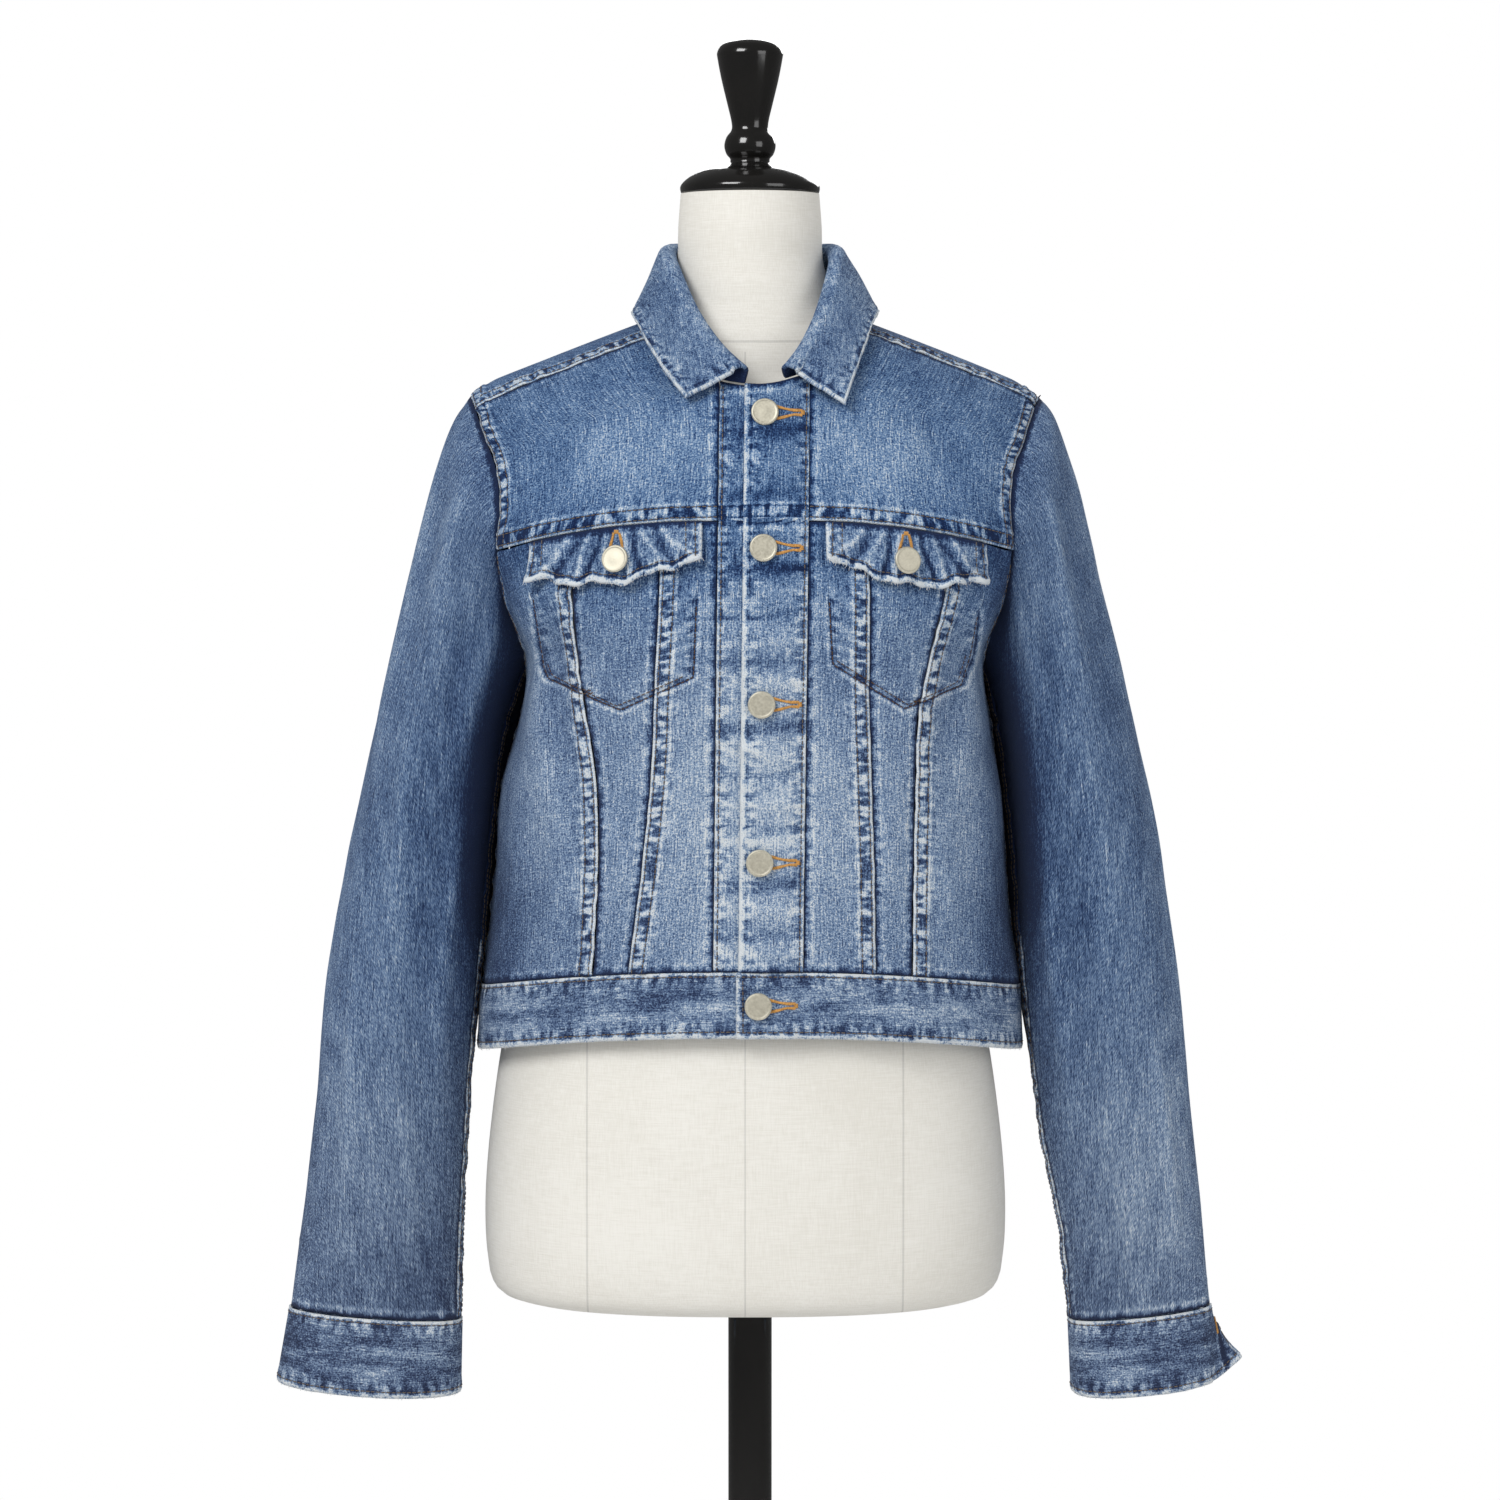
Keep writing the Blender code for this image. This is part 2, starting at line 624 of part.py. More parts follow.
def lower_front(side):
    edge = shifted(lambda z: turn_of(front_edge(side, z), z), side * SEAM_GAP / 2)
    seam_a, seam_b = seam_turn(side, "_a"), seam_turn(side, "_b")
    rows = stations((1.0, 12))

    before_a = shifted(seam_a, -side * SEAM_GAP / 2)
    centre = upright_panel(edge, before_a, front_low(edge, before_a), front_high(edge, before_a))
    centre_width = (centre(1, 0.5) - centre(0, 0.5)).length
    strip = 1 - FELL_WIDTH / centre_width
    columns = stations((strip - FELL_STEP / centre_width, 3), (strip, 1), (1.0, 1))
    sheet(
        "front_centre_" + NAMES[side],
        centre,
        columns,
        rows,
        DENIM,
        lambda u, v: FELL_RISE if u >= strip - SAME else 0.0,
    )

    start, end = shifted(seam_a, side * SEAM_GAP / 2), shifted(seam_b, -side * SEAM_GAP / 2)
    middle = upright_panel(start, end, front_low(start, end), front_high(start, end))
    sheet(
        "front_middle_" + NAMES[side], middle, stations((1.0, 4)), rows, DENIM, lambda u, v: -FELL_RISE
    )

    after_b = shifted(seam_b, side * SEAM_GAP / 2)

    def side_seam(z):
        return side * (math.pi / 2 - SEAM_GAP / 2 / read(BODY, z, "front"))

    front_side = side_panel(after_b, side_seam, front_low(after_b, side_seam), yoke_front_z, side)
    corner = armhole_corner(after_b, side_seam, yoke_front_z)
    width = (front_side(corner, 0.4) - front_side(0, 0.4)).length
    strip_share = FELL_WIDTH / width * corner
    step_share = FELL_STEP / width * corner
    columns = stations((strip_share, 1), (strip_share + step_share, 1), (corner, 3), (1.0, 4))
    sheet(
        "front_side_" + NAMES[side],
        front_side,
        columns,
        rows,
        DENIM,
        lambda u, v: FELL_RISE if u <= strip_share + SAME else 0.0,
    )


def armhole_corner(start, end, yoke_z):
    """The column of a side panel in which the yoke seam meets the armhole."""
    z = yoke_z(armhole_x(ARMHOLE_CORNER_Z))
    return (turn_of(armhole_x(z), z) - abs(start(z))) / (abs(end(z)) - abs(start(z)))


def side_panel(start, end, low, yoke_z, side):
    """An upright panel whose top follows the yoke seam and then the armhole down to the armpit."""
    corner = armhole_corner(start, end, yoke_z)

    def front_turn(u, z):
        turn = abs(mix(start(z), end(z), u))
        return min(turn, math.pi - turn)

    def high(u):
        if u <= corner:
            x = around(front_turn(u, FRONT_SIDE_TOP_Z), FRONT_SIDE_TOP_Z).x - lean(FRONT_SIDE_TOP_Z)
            share = u / corner
            return mix(yoke_z(x), yoke_z(armhole_x(ARMHOLE_CORNER_Z)), share**4) - 2 * SEAM_GAP
        bottom, top = ARMPIT_Z, yoke_z(armhole_x(ARMHOLE_CORNER_Z)) + 0.002
        for _ in range(30):
            z = (bottom + top) / 2
            inside = turn_of(armhole_x(z), z) > front_turn(u, z)
            bottom, top = (z, top) if inside else (bottom, z)
        return bottom - SEAM_GAP / 2

    return upright_panel(start, end, low, high)


# Back

BACK_CORNERS = (0.30, 0.70)  # the back yoke's columns at which its lower corners lie
BACK_SEAM_PLACE = 0.04  # the column at which a shoulder seam's strip ends
BACK_STRIP_PLACE = 1 - SHOULDER_PLACES[-2]
ARM_LENGTH, NECK_LENGTH = 0.130, 0.250  # of the yoke's armhole side and of its neckline
PLANE_RADIUS = 0.10  # turns a radian over the shoulder into a length of cloth, nearly


def along(at, *stops):
    """A value at a place, on straight lines between stops given as (place, value)."""
    for (low, start), (high, end) in zip(stops, stops[1:]):
        if at <= high:
            return mix(start, end, (at - low) / (high - low))
    return stops[-1][1]


def back_yoke():
    """A horseshoe: columns run from its outer border to the neckline, and end at the shoulder seams."""
    corner_z = yoke_back_z(armhole_x(YOKE_BACK_Z)) + SEAM_GAP / 2
    neck_end = {side: math.acos(SHOULDER_SEAM_ANGLE[side] / NECK_FRONT) for side in (1, -1)}
    tips = {side: seam_tip(side) for side in (1, -1)}
    low, high = BACK_CORNERS

    def armhole(side, share):
        """From the shoulder seam (share 0) down to the yoke seam (share 1)."""
        turn = mix(-arm_turn(ridge(tips[side].x) - drop_of(tips[side].y)), arm_turn(corner_z), share)
        x = armhole_x(arm_turn_z(turn))
        return Vector((side * x, math.copysign(angle_of(ridge(x) - arm_turn_z(turn)), turn)))

    def outer(u):
        strip = FELL_WIDTH / ARM_LENGTH
        if u < low:
            return armhole(-1, along(u, (0, 0), (BACK_SEAM_PLACE, strip), (low, 1)))
        if u > high:
            return armhole(1, along(1 - u, (0, 0), (BACK_SEAM_PLACE, strip), (1 - high, 1)))
        x = armhole_x(corner_z) * mix(-1, 1, (u - low) / (high - low))
        return Vector((x, angle_of(ridge(x) - yoke_back_z(x) - SEAM_GAP / 2)))

    def neckline(u):
        strip = FELL_WIDTH / NECK_LENGTH
        share = along(u, (0, 0), (BACK_SEAM_PLACE, strip), (1 - BACK_SEAM_PLACE, 1 - strip), (1, 1))
        turn = mix(-neck_end[-1], neck_end[1] - 2 * math.pi, share)
        cosine = math.cos(turn)
        return Vector((NECK_HALF * math.sin(turn), -cosine * (NECK_FRONT if cosine > 0 else NECK_BACK)))

    def surface(u, v):
        start, end = outer(u), neckline(u)
        way = end - start
        strip = FELL_WIDTH / math.hypot(way.x, way.y * PLANE_RADIUS)
        point = start + way * along(v, (0, 0), (BACK_STRIP_PLACE, strip), (1, 1))
        return over_shoulder(point.x, point.y)

    def rise(u, v):
        return FELL_RISE if v <= BACK_STRIP_PLACE + SAME or min(u, 1 - u) <= BACK_SEAM_PLACE + SAME else 0.0

    step = BACK_SEAM_PLACE + 0.005
    right = stations((BACK_SEAM_PLACE, 1), (step, 1), (low, 5))
    bottom = [mix(low, high, i / 9) for i in range(1, 9)]
    columns = right + bottom + [1 - place for place in reversed(right)]
    rows = [1 - place for place in reversed(SHOULDER_PLACES)]
    sheet("back_yoke", surface, columns, rows, DENIM, rise)


def lower_back():
    rows = stations((1.0, 10))

    def back_turn(side, by=0.0):
        def at(z):
            share = (z - BACK_SEAM_LOW_Z) / (BACK_SEAM_HIGH_Z - BACK_SEAM_LOW_Z)
            x = mix(BACK_SEAM_LOW, BACK_SEAM_HIGH, share)
            return side * (math.pi - turn_of(x + by, z))

        return at

    def back_low(start, end):
        return lambda u: band_top(mix(start(BACK_SEAM_LOW_Z), end(BACK_SEAM_LOW_Z), u)) + LAP

    def across(z):
        return back_turn(1, -SEAM_GAP / 2)(z), 2 * math.pi + back_turn(-1, -SEAM_GAP / 2)(z)

    def centre(u, v):
        low = HEM_Z + BAND_HEIGHT + LAP
        x = around(mix(*across(YOKE_BACK_Z), u), YOKE_BACK_Z).x - lean(YOKE_BACK_Z)
        z = mix(low, yoke_back_z(x) - SEAM_GAP, v)
        return around(mix(*across(z), u), z)

    sheet("back_centre", centre, stations((1.0, 8)), rows, DENIM)

    for side in (1, -1):
        start = back_turn(side, SEAM_GAP / 2)

        def end(z, side=side):
            return side * (math.pi / 2 + SEAM_GAP / 2 / read(BODY, z, "back"))

        def seen(z, start=start, side=side):
            """The start's turn as if it were on the front, where the armhole's turns are."""
            return side * (math.pi - abs(start(z)))

        surface = back_side_surface(side, start, end, seen, back_low(start, end))
        corner = armhole_corner(seen, lambda z, side=side: side * math.pi / 2, yoke_back_z)
        sheet("back_side_" + NAMES[side], surface, stations((corner, 3), (1.0, 4)), rows, DENIM)


def back_side_surface(side, start, end, seen, low):
    profile = side_panel(seen, lambda z: side * math.pi / 2, low, yoke_back_z, side)

    def surface(u, v):
        top = profile(u, 1).z
        z = mix(low(u), top, v)
        return around(mix(start(z), end(z), u), z)

    return surface


# Placket, pockets and waistband


def placket(name, fold, sewn, rise, thickness):
    def surface(u, v):
        top_x = centre_x(PLACKET_TOP_Z) + mix(fold, sewn, u)
        top = ridge(top_x) - drop_of(neck_angle(top_x))
        low = band_top(0) + LAP
        z = mix(low, top, v)
        return torso(centre_x(z) + mix(fold, sewn, u), z, -1)

    sheet(name, surface, stations((LAP_SHARE, 2), (1.0, 2)), stations((1.0, 18)), thickness, rise)


def upper_rise(u, v):
    return mix(LAPPED_RISE, FELL_RISE, ease(u, LAP_SHARE, 1.0))


def plackets():
    placket("placket_upper", UPPER_FOLD, UPPER_SEWN - SEAM_GAP / 2, upper_rise, BAND)
    placket("placket_under", UNDER_SEWN + SEAM_GAP / 2, UNDER_FOLD, None, DENIM)


def flap_drop(u):
    return mix(FLAP_POINT_DROP, FLAP_SIDE_DROP, abs(2 * u - 1) ** 1.6)


def flap_point(side, u, v):
    x = FLAP_INNER[side] + FLAP_WIDTH[side] * u - side * lean(POCKET_Z)
    z = yoke_front_z(x) - 2 * SEAM_GAP - v * flap_drop(u)
    return torso(side * x, z, -1)


def pocket(side):
    def flap(u, v):
        return flap_point(side, u, v)

    sheet(
        "pocket_flap_" + NAMES[side],
        flap,
        stations((0.5, 4), (1.0, 4)),
        stations((1.0, 4)),
        BAND,
        lambda u, v: FLAP_RISE + FLAP_CURL * v * v,
    )

    def bag(u, v):
        x = FLAP_INNER[side] + BAG_INSET + (FLAP_WIDTH[side] - 5 * BAG_INSET) * u - side * lean(POCKET_Z)
        low = mix(BAG_POINT_Z, BAG_SIDE_Z, abs(2 * u - 1))
        return torso(side * x, mix(low, yoke_front_z(x) - 0.003, v), -1)

    sheet(
        "pocket_bag_" + NAMES[side],
        bag,
        stations((0.5, 4), (1.0, 4)),
        stations((1.0, 4)),
        LINING,
        lambda u, v: BAG_RISE,
        look="cotton",
    )


def waistband():
    """One band round the hem, its left end over its right end at the front."""
    z_middle = HEM_Z + HEM_FRONT_RISE + BAND_HEIGHT / 2
    over_end = turn_of(centre_x(z_middle) + UPPER_FOLD - 0.001, z_middle)
    over_clear = turn_of(centre_x(z_middle) + UPPER_SEWN, z_middle)
    under_end = 2 * math.pi + turn_of(centre_x(z_middle) + UNDER_FOLD, z_middle)
    under_start = 2 * math.pi + turn_of(centre_x(z_middle) + UNDER_SEWN, z_middle)
    length = under_end - over_end
    flat_end = (over_clear - over_end) / length
    under_from = (under_start - over_end) / length

    def surface(u, v):
        turn = mix(over_end, under_end, u)
        return around(turn, mix(hem_z(turn), band_top(turn), v))

    def rise(u, v):
        if u < 0.5:
            return mix(LAPPED_RISE, FELL_RISE, ease(u, BAND_LAP_SHARE * flat_end, flat_end))
        return mix(FELL_RISE, 0.0, ease(u, under_from - BAND_STEP_SHARE, under_from))

    columns = stations(
        (BAND_LAP_SHARE * flat_end, 2),
        (flat_end, 2),
        (under_from - BAND_STEP_SHARE, 34),
        (under_from, 1),
        (1.0, 3),
    )
    sheet("waistband", surface, columns, stations((1.0, 2)), BAND, rise)


# Sleeves and cuffs


def power(value, square):
    return math.copysign(abs(value) ** (2 / square), value)


def armhole_point(side, angle):
    """The armhole seam: 0 at the shoulder's tip, a quarter at the front, a half at the armpit."""
    z = arm_turn_z(angle)
    return torso(side * armhole_x(z), z, -1 if math.sin(angle) > 0 else 1)


def sleeve_section(side, number):
    table = SLEEVES[side]
    inner = Vector((side * read(table, number, "inner_x"), 0, read(table, number, "inner_z")))
    outer = Vector((side * read(table, number, "outer_x"), 0, read(table, number, "outer_z")))
    return inner, outer, read(table, number, "depth"), read(table, number, "y")


def ring_point(inner, outer, depth, y, angle):
    centre, reach = (inner + outer) / 2, (outer - inner) / 2
    point = centre + reach * power(math.cos(angle), SLEEVE_SQUARE)
    point.y = y - depth * power(math.sin(angle), SLEEVE_SQUARE)
    return point


def sleeve_point(side, number, angle):
    point = ring_point(*sleeve_section(side, number), angle)
    if number < 2:
        seam = armhole_point(side, angle) - ring_point(*sleeve_section(side, 0), angle)
        point += seam * (1 - number / 2) ** 2
    return point


def sleeve(side):
    gap = SLEEVE_SEAM_GAP

    def seam_angles(number):
        share = number / 11
        front = math.radians(mix(*FRONT_SLEEVE_SEAM, share))
        return math.radians(mix(*BACK_SLEEVE_SEAM, share)), front

    def upper(u, v):
        number = mix(SLEEVE_START, SLEEVE_END, v)
        back, front = seam_angles(number)
        return sleeve_point(side, number, mix(back + gap, front - gap, u))

    def under(u, v):
        number = mix(SLEEVE_START, SLEEVE_END, v)
        back, front = seam_angles(number)
        return sleeve_point(side, number, mix(front + gap, back + 2 * math.pi - gap, u))

    def sleeve_core(point):
        number = SLEEVE_END / 2
        inner, outer, _, y = sleeve_section(side, number)
        centre = (inner + outer) / 2
        centre.y = y
        return centre

    rows = stations((1.0, 12))
    upper_columns = stations((0.02, 1), (0.98, 13), (1.0, 1))
    under_columns = stations((0.03, 1), (0.97, 9), (1.0, 1))
    sheet("sleeve_upper_" + NAMES[side], upper, upper_columns, rows, DENIM, core=sleeve_core)
    sheet("sleeve_under_" + NAMES[side], under, under_columns, rows, DENIM, core=sleeve_core)


def cuff_section(side, v):
    """The cuff's ring from the sleeve's end (v = 0) to its free edge (v = 1)."""
    inner, outer, depth, y = sleeve_section(side, 11)
    slant_inner, slant_outer = CUFF_SLANT[side]
    down = Vector((0, 0, -CUFF_HEIGHT * v - 2 * SEAM_GAP))
    inner = inner + down + Vector((side * (slant_inner * v - CUFF_RISE), 0, 0))
    outer = outer + down + Vector((side * (slant_outer * v + CUFF_RISE), 0, 0))
    return inner, outer, depth + CUFF_RISE, y


def cuff_point(side, u, v):
    slit = BACK_SLEEVE_SEAM[1]
    angle = math.radians(mix(slit + CUFF_SLIT / 2, slit + 360 - CUFF_SLIT / 2, u))
    point = ring_point(*cuff_section(side, v), angle)
    point.z -= CUFF_DIP * v * max(math.sin(angle), 0.0)
    if side > 0:
        loose = 1 - ease(math.degrees(angle), slit, CUFF_FLARE_FROM)
        point += CUFF_FLARE * loose * v**1.3
    return point


def cuff(side):
    def surface(u, v):
        return cuff_point(side, u, v)

    def core(point):
        inner, outer, _, y = cuff_section(side, 0.5)
        centre = (inner + outer) / 2
        centre.y = y
        return centre

    columns = stations((0.12, 4), (1.0, 20))
    sheet("cuff_" + NAMES[side], surface, columns, stations((1.0, 2)), BAND, core=core)


# Collar


def collar_shift(place):
    """The front ends are centred on the buttons, not on the neck."""
    return centre_x(PLACKET_TOP_Z) * max(2 * place - 1, 0.0) ** 2


def collar_frame(u):
    """The seam, the roll and the free edge of one section, u from the right end to the left end."""
    side, place = (1 if u > 0.5 else -1), abs(2 * u - 1)
    if place < 0.5:
        beta = math.pi * (1 - place)
    else:
        beta = mix(math.pi / 2, COLLAR_END_BETA, 2 * place - 1)
    x = side * NECK_HALF * math.sin(beta) + collar_shift(place)
    turn = -NECK_FRONT if beta < math.pi / 2 else NECK_BACK
    angle = turn * math.sqrt(max(1 - (x / NECK_HALF) ** 2, 0.0))
    seam = over_shoulder(x, angle)
    roll_x = side * read(COLLAR, place, "roll_x") + collar_shift(place)
    roll = Vector((roll_x + mix(COLLAR_ROLL_SHIFT, LEAN, max(2 * place - 1, 0)), 0, 0))
    roll.y, roll.z = read(COLLAR, place, "roll_y"), read(COLLAR, place, "roll_z")
    edge_x = side * read(COLLAR, place, "edge_x") + collar_shift(place)
    edge_angle = read(COLLAR, place, "edge_angle")
    edge = over_shoulder(edge_x, edge_angle)
    beside = over_shoulder(edge_x + STEP, edge_angle) - over_shoulder(edge_x - STEP, edge_angle)
    along = over_shoulder(edge_x, edge_angle + STEP) - over_shoulder(edge_x, edge_angle - STEP)
    edge += beside.cross(along).normalized() * COLLAR_LIFT
    return seam, roll, edge


STAND_SHARE, ROLL_SHARE = 0.30, 0.48  # where the stand ends and the fall begins


def collar_point(u, v):
    seam, roll, edge = collar_frame(u)
    up = (roll - seam).normalized()
    out = edge - roll
    out = (out - up * out.dot(up)).normalized()
    centre = roll - up * COLLAR_ROLL_RADIUS
    foot = seam + up * COLLAR_SEAT - out * BAND
    if v <= STAND_SHARE:
        return mix(foot, centre - out * COLLAR_ROLL_RADIUS, v / STAND_SHARE)
    if v < ROLL_SHARE:
        turn = math.pi * (v - STAND_SHARE) / (ROLL_SHARE - STAND_SHARE)
        return centre + COLLAR_ROLL_RADIUS * (up * math.sin(turn) - out * math.cos(turn))
    share = (v - ROLL_SHARE) / (1 - ROLL_SHARE)
    return mix(centre + out * COLLAR_ROLL_RADIUS, edge, share)


def collar():
    rows = stations((STAND_SHARE, 2), (ROLL_SHARE, 4), (1.0, 3))
    sheet("collar", collar_point, stations((1.0, 26)), rows, BAND, core=None)


# Turned pieces


def turned(name, profile, sides, look):
    """A profile of radii and heights from its top down, turned round Z."""
    mesh = bpy.data.meshes.new(name)
    points = [(row.radius, 0, row.z) for row in profile]
    mesh.from_pydata(points, [(i, i + 1) for i in range(len(points) - 1)], [])
    piece = place_object(name, mesh, look)
    screw = piece.modifiers.new("Turn", "SCREW")
    screw.steps = screw.render_steps = sides
    screw.use_merge_vertices = True
    screw.merge_threshold = 0.00005
    screw.use_smooth_shade = True
    return piece


def button(name, surface, u, v, lift, facing):
    """A shank button that stands on a surface."""
    normal = slope_normal(surface, u, v) * facing
    piece = turned(name, BUTTON, 12, "nickel")
    piece.location = surface(u, v) + normal * (lift + SEAM_GAP)
    piece.rotation_mode = "QUATERNION"
    piece.rotation_quaternion = Vector((0, 0, 1)).rotation_difference(normal)


def buttons():
    for number, z in enumerate(BUTTON_HEIGHTS):
        button_on_front("button_placket_" + str(number + 1), centre_x(z), z, LAPPED_RISE)
    button_on_front("button_waistband", centre_x(WAIST_BUTTON_Z), WAIST_BUTTON_Z, LAPPED_RISE)
    for side in (1, -1):
        x = side * (FLAP_INNER[side] + FLAP_WIDTH[side] / 2) - lean(POCKET_Z)
        z = yoke_front_z(x) - FLAP_BUTTON_DROP
        button_on_front("button_flap_" + NAMES[side], x, z, FLAP_RISE + FLAP_CURL * 0.5)
        angle = math.radians(CUFF_BUTTON_ANGLE)

        def cuff_ring(u, v, side=side, angle=angle):
            return ring_point(*cuff_section(side, v), angle + (u - 0.5))

        centre = ring_point(*cuff_section(side, 0.5), angle)
        facing = 1 if slope_normal(cuff_ring, 0.5, 0.5).dot(Vector((0, 1, 0))) > 0 else -1
        button("button_cuff_" + NAMES[side], cuff_ring, 0.5, 0.5, CUFF_BUTTON_LIFT, facing)


def button_on_front(name, x, z, lift):
    def front(u, v):
        return torso(x + u - 0.5, z + v - 0.5, -1)

    button(name, front, 0.5, 0.5, lift, 1)


# Dress form


def form_sections():
    rows = list(FORM_BELOW)
    last = len(FORM_SHOULDER_HEIGHTS) - 1
    for number, z in enumerate(FORM_SHOULDER_HEIGHTS):
        share = number / last
        half_width = min(ridge_x(z + FORM_SEAT), FORM_BELOW[-1].half_width)
        rows.append(
            Form(z, half_width, mix(*FORM_SHOULDER_FRONT, share), mix(*FORM_SHOULDER_BACK, share), 2.0)
        )
    return rows + list(FORM_NECK)


def form_torso():
    """A sphere's rings moved onto the form's sections, its poles flattened to the end faces."""
    rows = form_sections()
    ball = bmesh.new()
    bmesh.ops.create_uvsphere(ball, u_segments=FORM_SIDES, v_segments=len(rows) + 1, radius=1.0)
    for vertex in ball.verts:
        number = round((math.asin(max(min(vertex.co.z, 1), -1)) / math.pi + 0.5) * (len(rows) + 1)) - 1
        if number < 0 or number >= len(rows):
            row = rows[min(max(number, 0), len(rows) - 1)]
            vertex.co = Vector((form_x(row.z), 0, row.z))
            continue
        row = rows[number]
        turn = math.atan2(vertex.co.x, -vertex.co.y)
        depth = row.front if math.cos(turn) > 0 else row.back
        x = form_x(row.z) + row.half_width * power(math.sin(turn), row.square)
        vertex.co = Vector((x, -depth * power(math.cos(turn), row.square), row.z))
    bmesh.ops.dissolve_degenerate(ball, dist=1e-7, edges=ball.edges)
    mesh = bpy.data.meshes.new("form_torso")
    ball.to_mesh(mesh)
    ball.free()
    mesh.shade_smooth()
    place_object("form_torso", mesh, "linen")


def form_x(z):
    """The form's middle: its hips stand a little to its right, and its shoulders fill the jacket's."""
    middle = mix(FORM_X, LEAN, ease(z, FORM_HIPS_Z, FORM_CHEST_Z))
    return middle * (1 - ease(z, FORM_NECK_LOW_Z, FORM_NECK_HIGH_Z))


def stand():
    turned("form_neck_cap", NECK_CAP, 24, "black lacquer")
    turned("form_finial", FINIAL, 18, "black lacquer")
    turned("form_base", BASE, 30, "black lacquer")
    bottom, top = BASE[0].z + SEAM_GAP, FORM_BELOW[0].z - SEAM_GAP
    bpy.ops.mesh.primitive_cylinder_add(
        vertices=POLE_SIDES, radius=POLE_RADIUS, depth=top - bottom, location=(0, 0, (bottom + top) / 2)
    )
    pole = bpy.context.active_object
    pole.name = pole.data.name = "form_pole"
    pole.data.materials.append(material("black lacquer"))
    pole.data.shade_smooth()
    pole.data.set_sharp_from_angle(angle=math.radians(40))
    for collection in pole.users_collection:
        collection.objects.unlink(pole)
    bpy.data.collections["denim_jacket"].objects.link(pole)


def main():
    for leftover in list(bpy.data.objects):
        bpy.data.objects.remove(leftover)
    collection = bpy.data.collections.new("denim_jacket")
    bpy.context.scene.collection.children.link(collection)
    for side in (1, -1):
        front_yoke(side)
        lower_front(side)
        pocket(side)
        sleeve(side)
        cuff(side)
    back_yoke()
    lower_back()
    plackets()
    waistband()
    collar()
    buttons()
    form_torso()
    stand()


main()
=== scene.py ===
import math
import types

import bpy
import numpy as np
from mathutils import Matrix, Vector
from mathutils.bvhtree import BVHTree


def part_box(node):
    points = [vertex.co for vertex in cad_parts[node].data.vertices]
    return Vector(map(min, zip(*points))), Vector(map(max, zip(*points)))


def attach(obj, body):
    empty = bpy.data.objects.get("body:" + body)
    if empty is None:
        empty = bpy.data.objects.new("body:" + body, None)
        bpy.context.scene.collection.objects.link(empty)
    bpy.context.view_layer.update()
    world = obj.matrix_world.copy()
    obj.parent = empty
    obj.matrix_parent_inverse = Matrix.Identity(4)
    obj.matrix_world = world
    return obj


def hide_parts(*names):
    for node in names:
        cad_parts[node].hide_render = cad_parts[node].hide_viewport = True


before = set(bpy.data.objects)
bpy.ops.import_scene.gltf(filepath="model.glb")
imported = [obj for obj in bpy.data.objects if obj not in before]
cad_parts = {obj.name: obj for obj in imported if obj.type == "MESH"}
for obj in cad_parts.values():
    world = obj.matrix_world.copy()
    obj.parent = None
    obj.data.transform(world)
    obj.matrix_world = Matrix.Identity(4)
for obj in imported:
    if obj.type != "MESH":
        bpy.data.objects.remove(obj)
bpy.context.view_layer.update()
print("frame loaded:", len(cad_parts), "nodes")

# cloth thicknesses and the heights at which folded pieces lie on each other
cloth = {
    "denim": 0.0018,
    "band": 0.0024,
    "seamGap": 0.0003,
    "fellWidth": 0.0110,
    "fellRise": 0.0008,
    "lap": 0.0004,
    "step": 1e-4,
}
lapRise = cloth["band"] + cloth["lap"]
away = 1.0
# per-vertex marks; two of them hold painted light: the tone shift (washed-out patches together with painted highlight
# and painted shade) and the dark mark after wear (painted shade)
sheetMarks = ("fell", "fold", "tuck", "pocket", "sideways", "crumple", "wear", "deep", "fade", "grey")
turnedGrain = ("waistband", "cuff_left", "cuff_right", "collar")
sideNames = {1: "left", -1: "right"}
sheets = {}
tau = 2 * math.pi


def mix(start, end, share):
    return start * (1 - share) + end * share


def ease(at, low, high):
    t = np.clip((np.asarray(at, float) - low) / (high - low), 0, 1)
    return t * t * (3 - 2 * t)


def bell(at, width):
    return np.exp(-np.square(np.asarray(at, float) / width))


def readTable(table, at, column):
    keys = np.array([row[0] for row in table["rows"]], float)
    values = np.array([row[table["columns"].index(column)] for row in table["rows"]], float)
    at = np.clip(np.asarray(at, float), keys[0], keys[-1])
    low = np.clip(np.searchsorted(keys, at, side="right") - 1, 0, len(keys) - 2)
    before = np.clip(np.arange(len(keys)) - 1, 0, len(keys) - 1)
    after = np.clip(np.arange(len(keys)) + 1, 0, len(keys) - 1)
    slopes = (values[after] - values[before]) / (keys[after] - keys[before])
    span = keys[low + 1] - keys[low]
    t = (at - keys[low]) / span
    straight = values[low] * (1 + 2 * t) * (1 - t) ** 2 + values[low + 1] * t * t * (3 - 2 * t)
    return straight + span * (slopes[low] * t * (1 - t) ** 2 - slopes[low + 1] * t * t * (1 - t))


# the jacket's body: a superellipse at each height, under shoulders that slope from neck to arm
body = {
    "ridgeX": 0.0986, "ridgeZ": 1.3500, "ridgeSlope": 0.40, "ridgeRound": 0.030,
    "ridgeBendX": 0.162, "ridgeBend": 16.0,
    "shoulderDrop": 0.110,
    "seamAngle": {1: 0.38, -1: 0.48},
    "neckHalf": 0.0645, "neckFront": 1.111, "neckBack": 0.567,
    "yokeFrontZ": 1.2352, "yokeFrontFall": 1.105, "yokeBackZ": 1.2350, "yokeBackFall": 0.25,
    "hemZ": 0.8975, "hemRise": 0.0190, "bandHeight": 0.0410,
    "armpitZ": 1.1500, "tipZ": 1.3135,
    "lean": 0.0030, "leanLow": 0.950, "leanHigh": 1.150,
    "centreX": 0.0049, "centreSlope": 0.0113, "centreZ": 0.930,
}
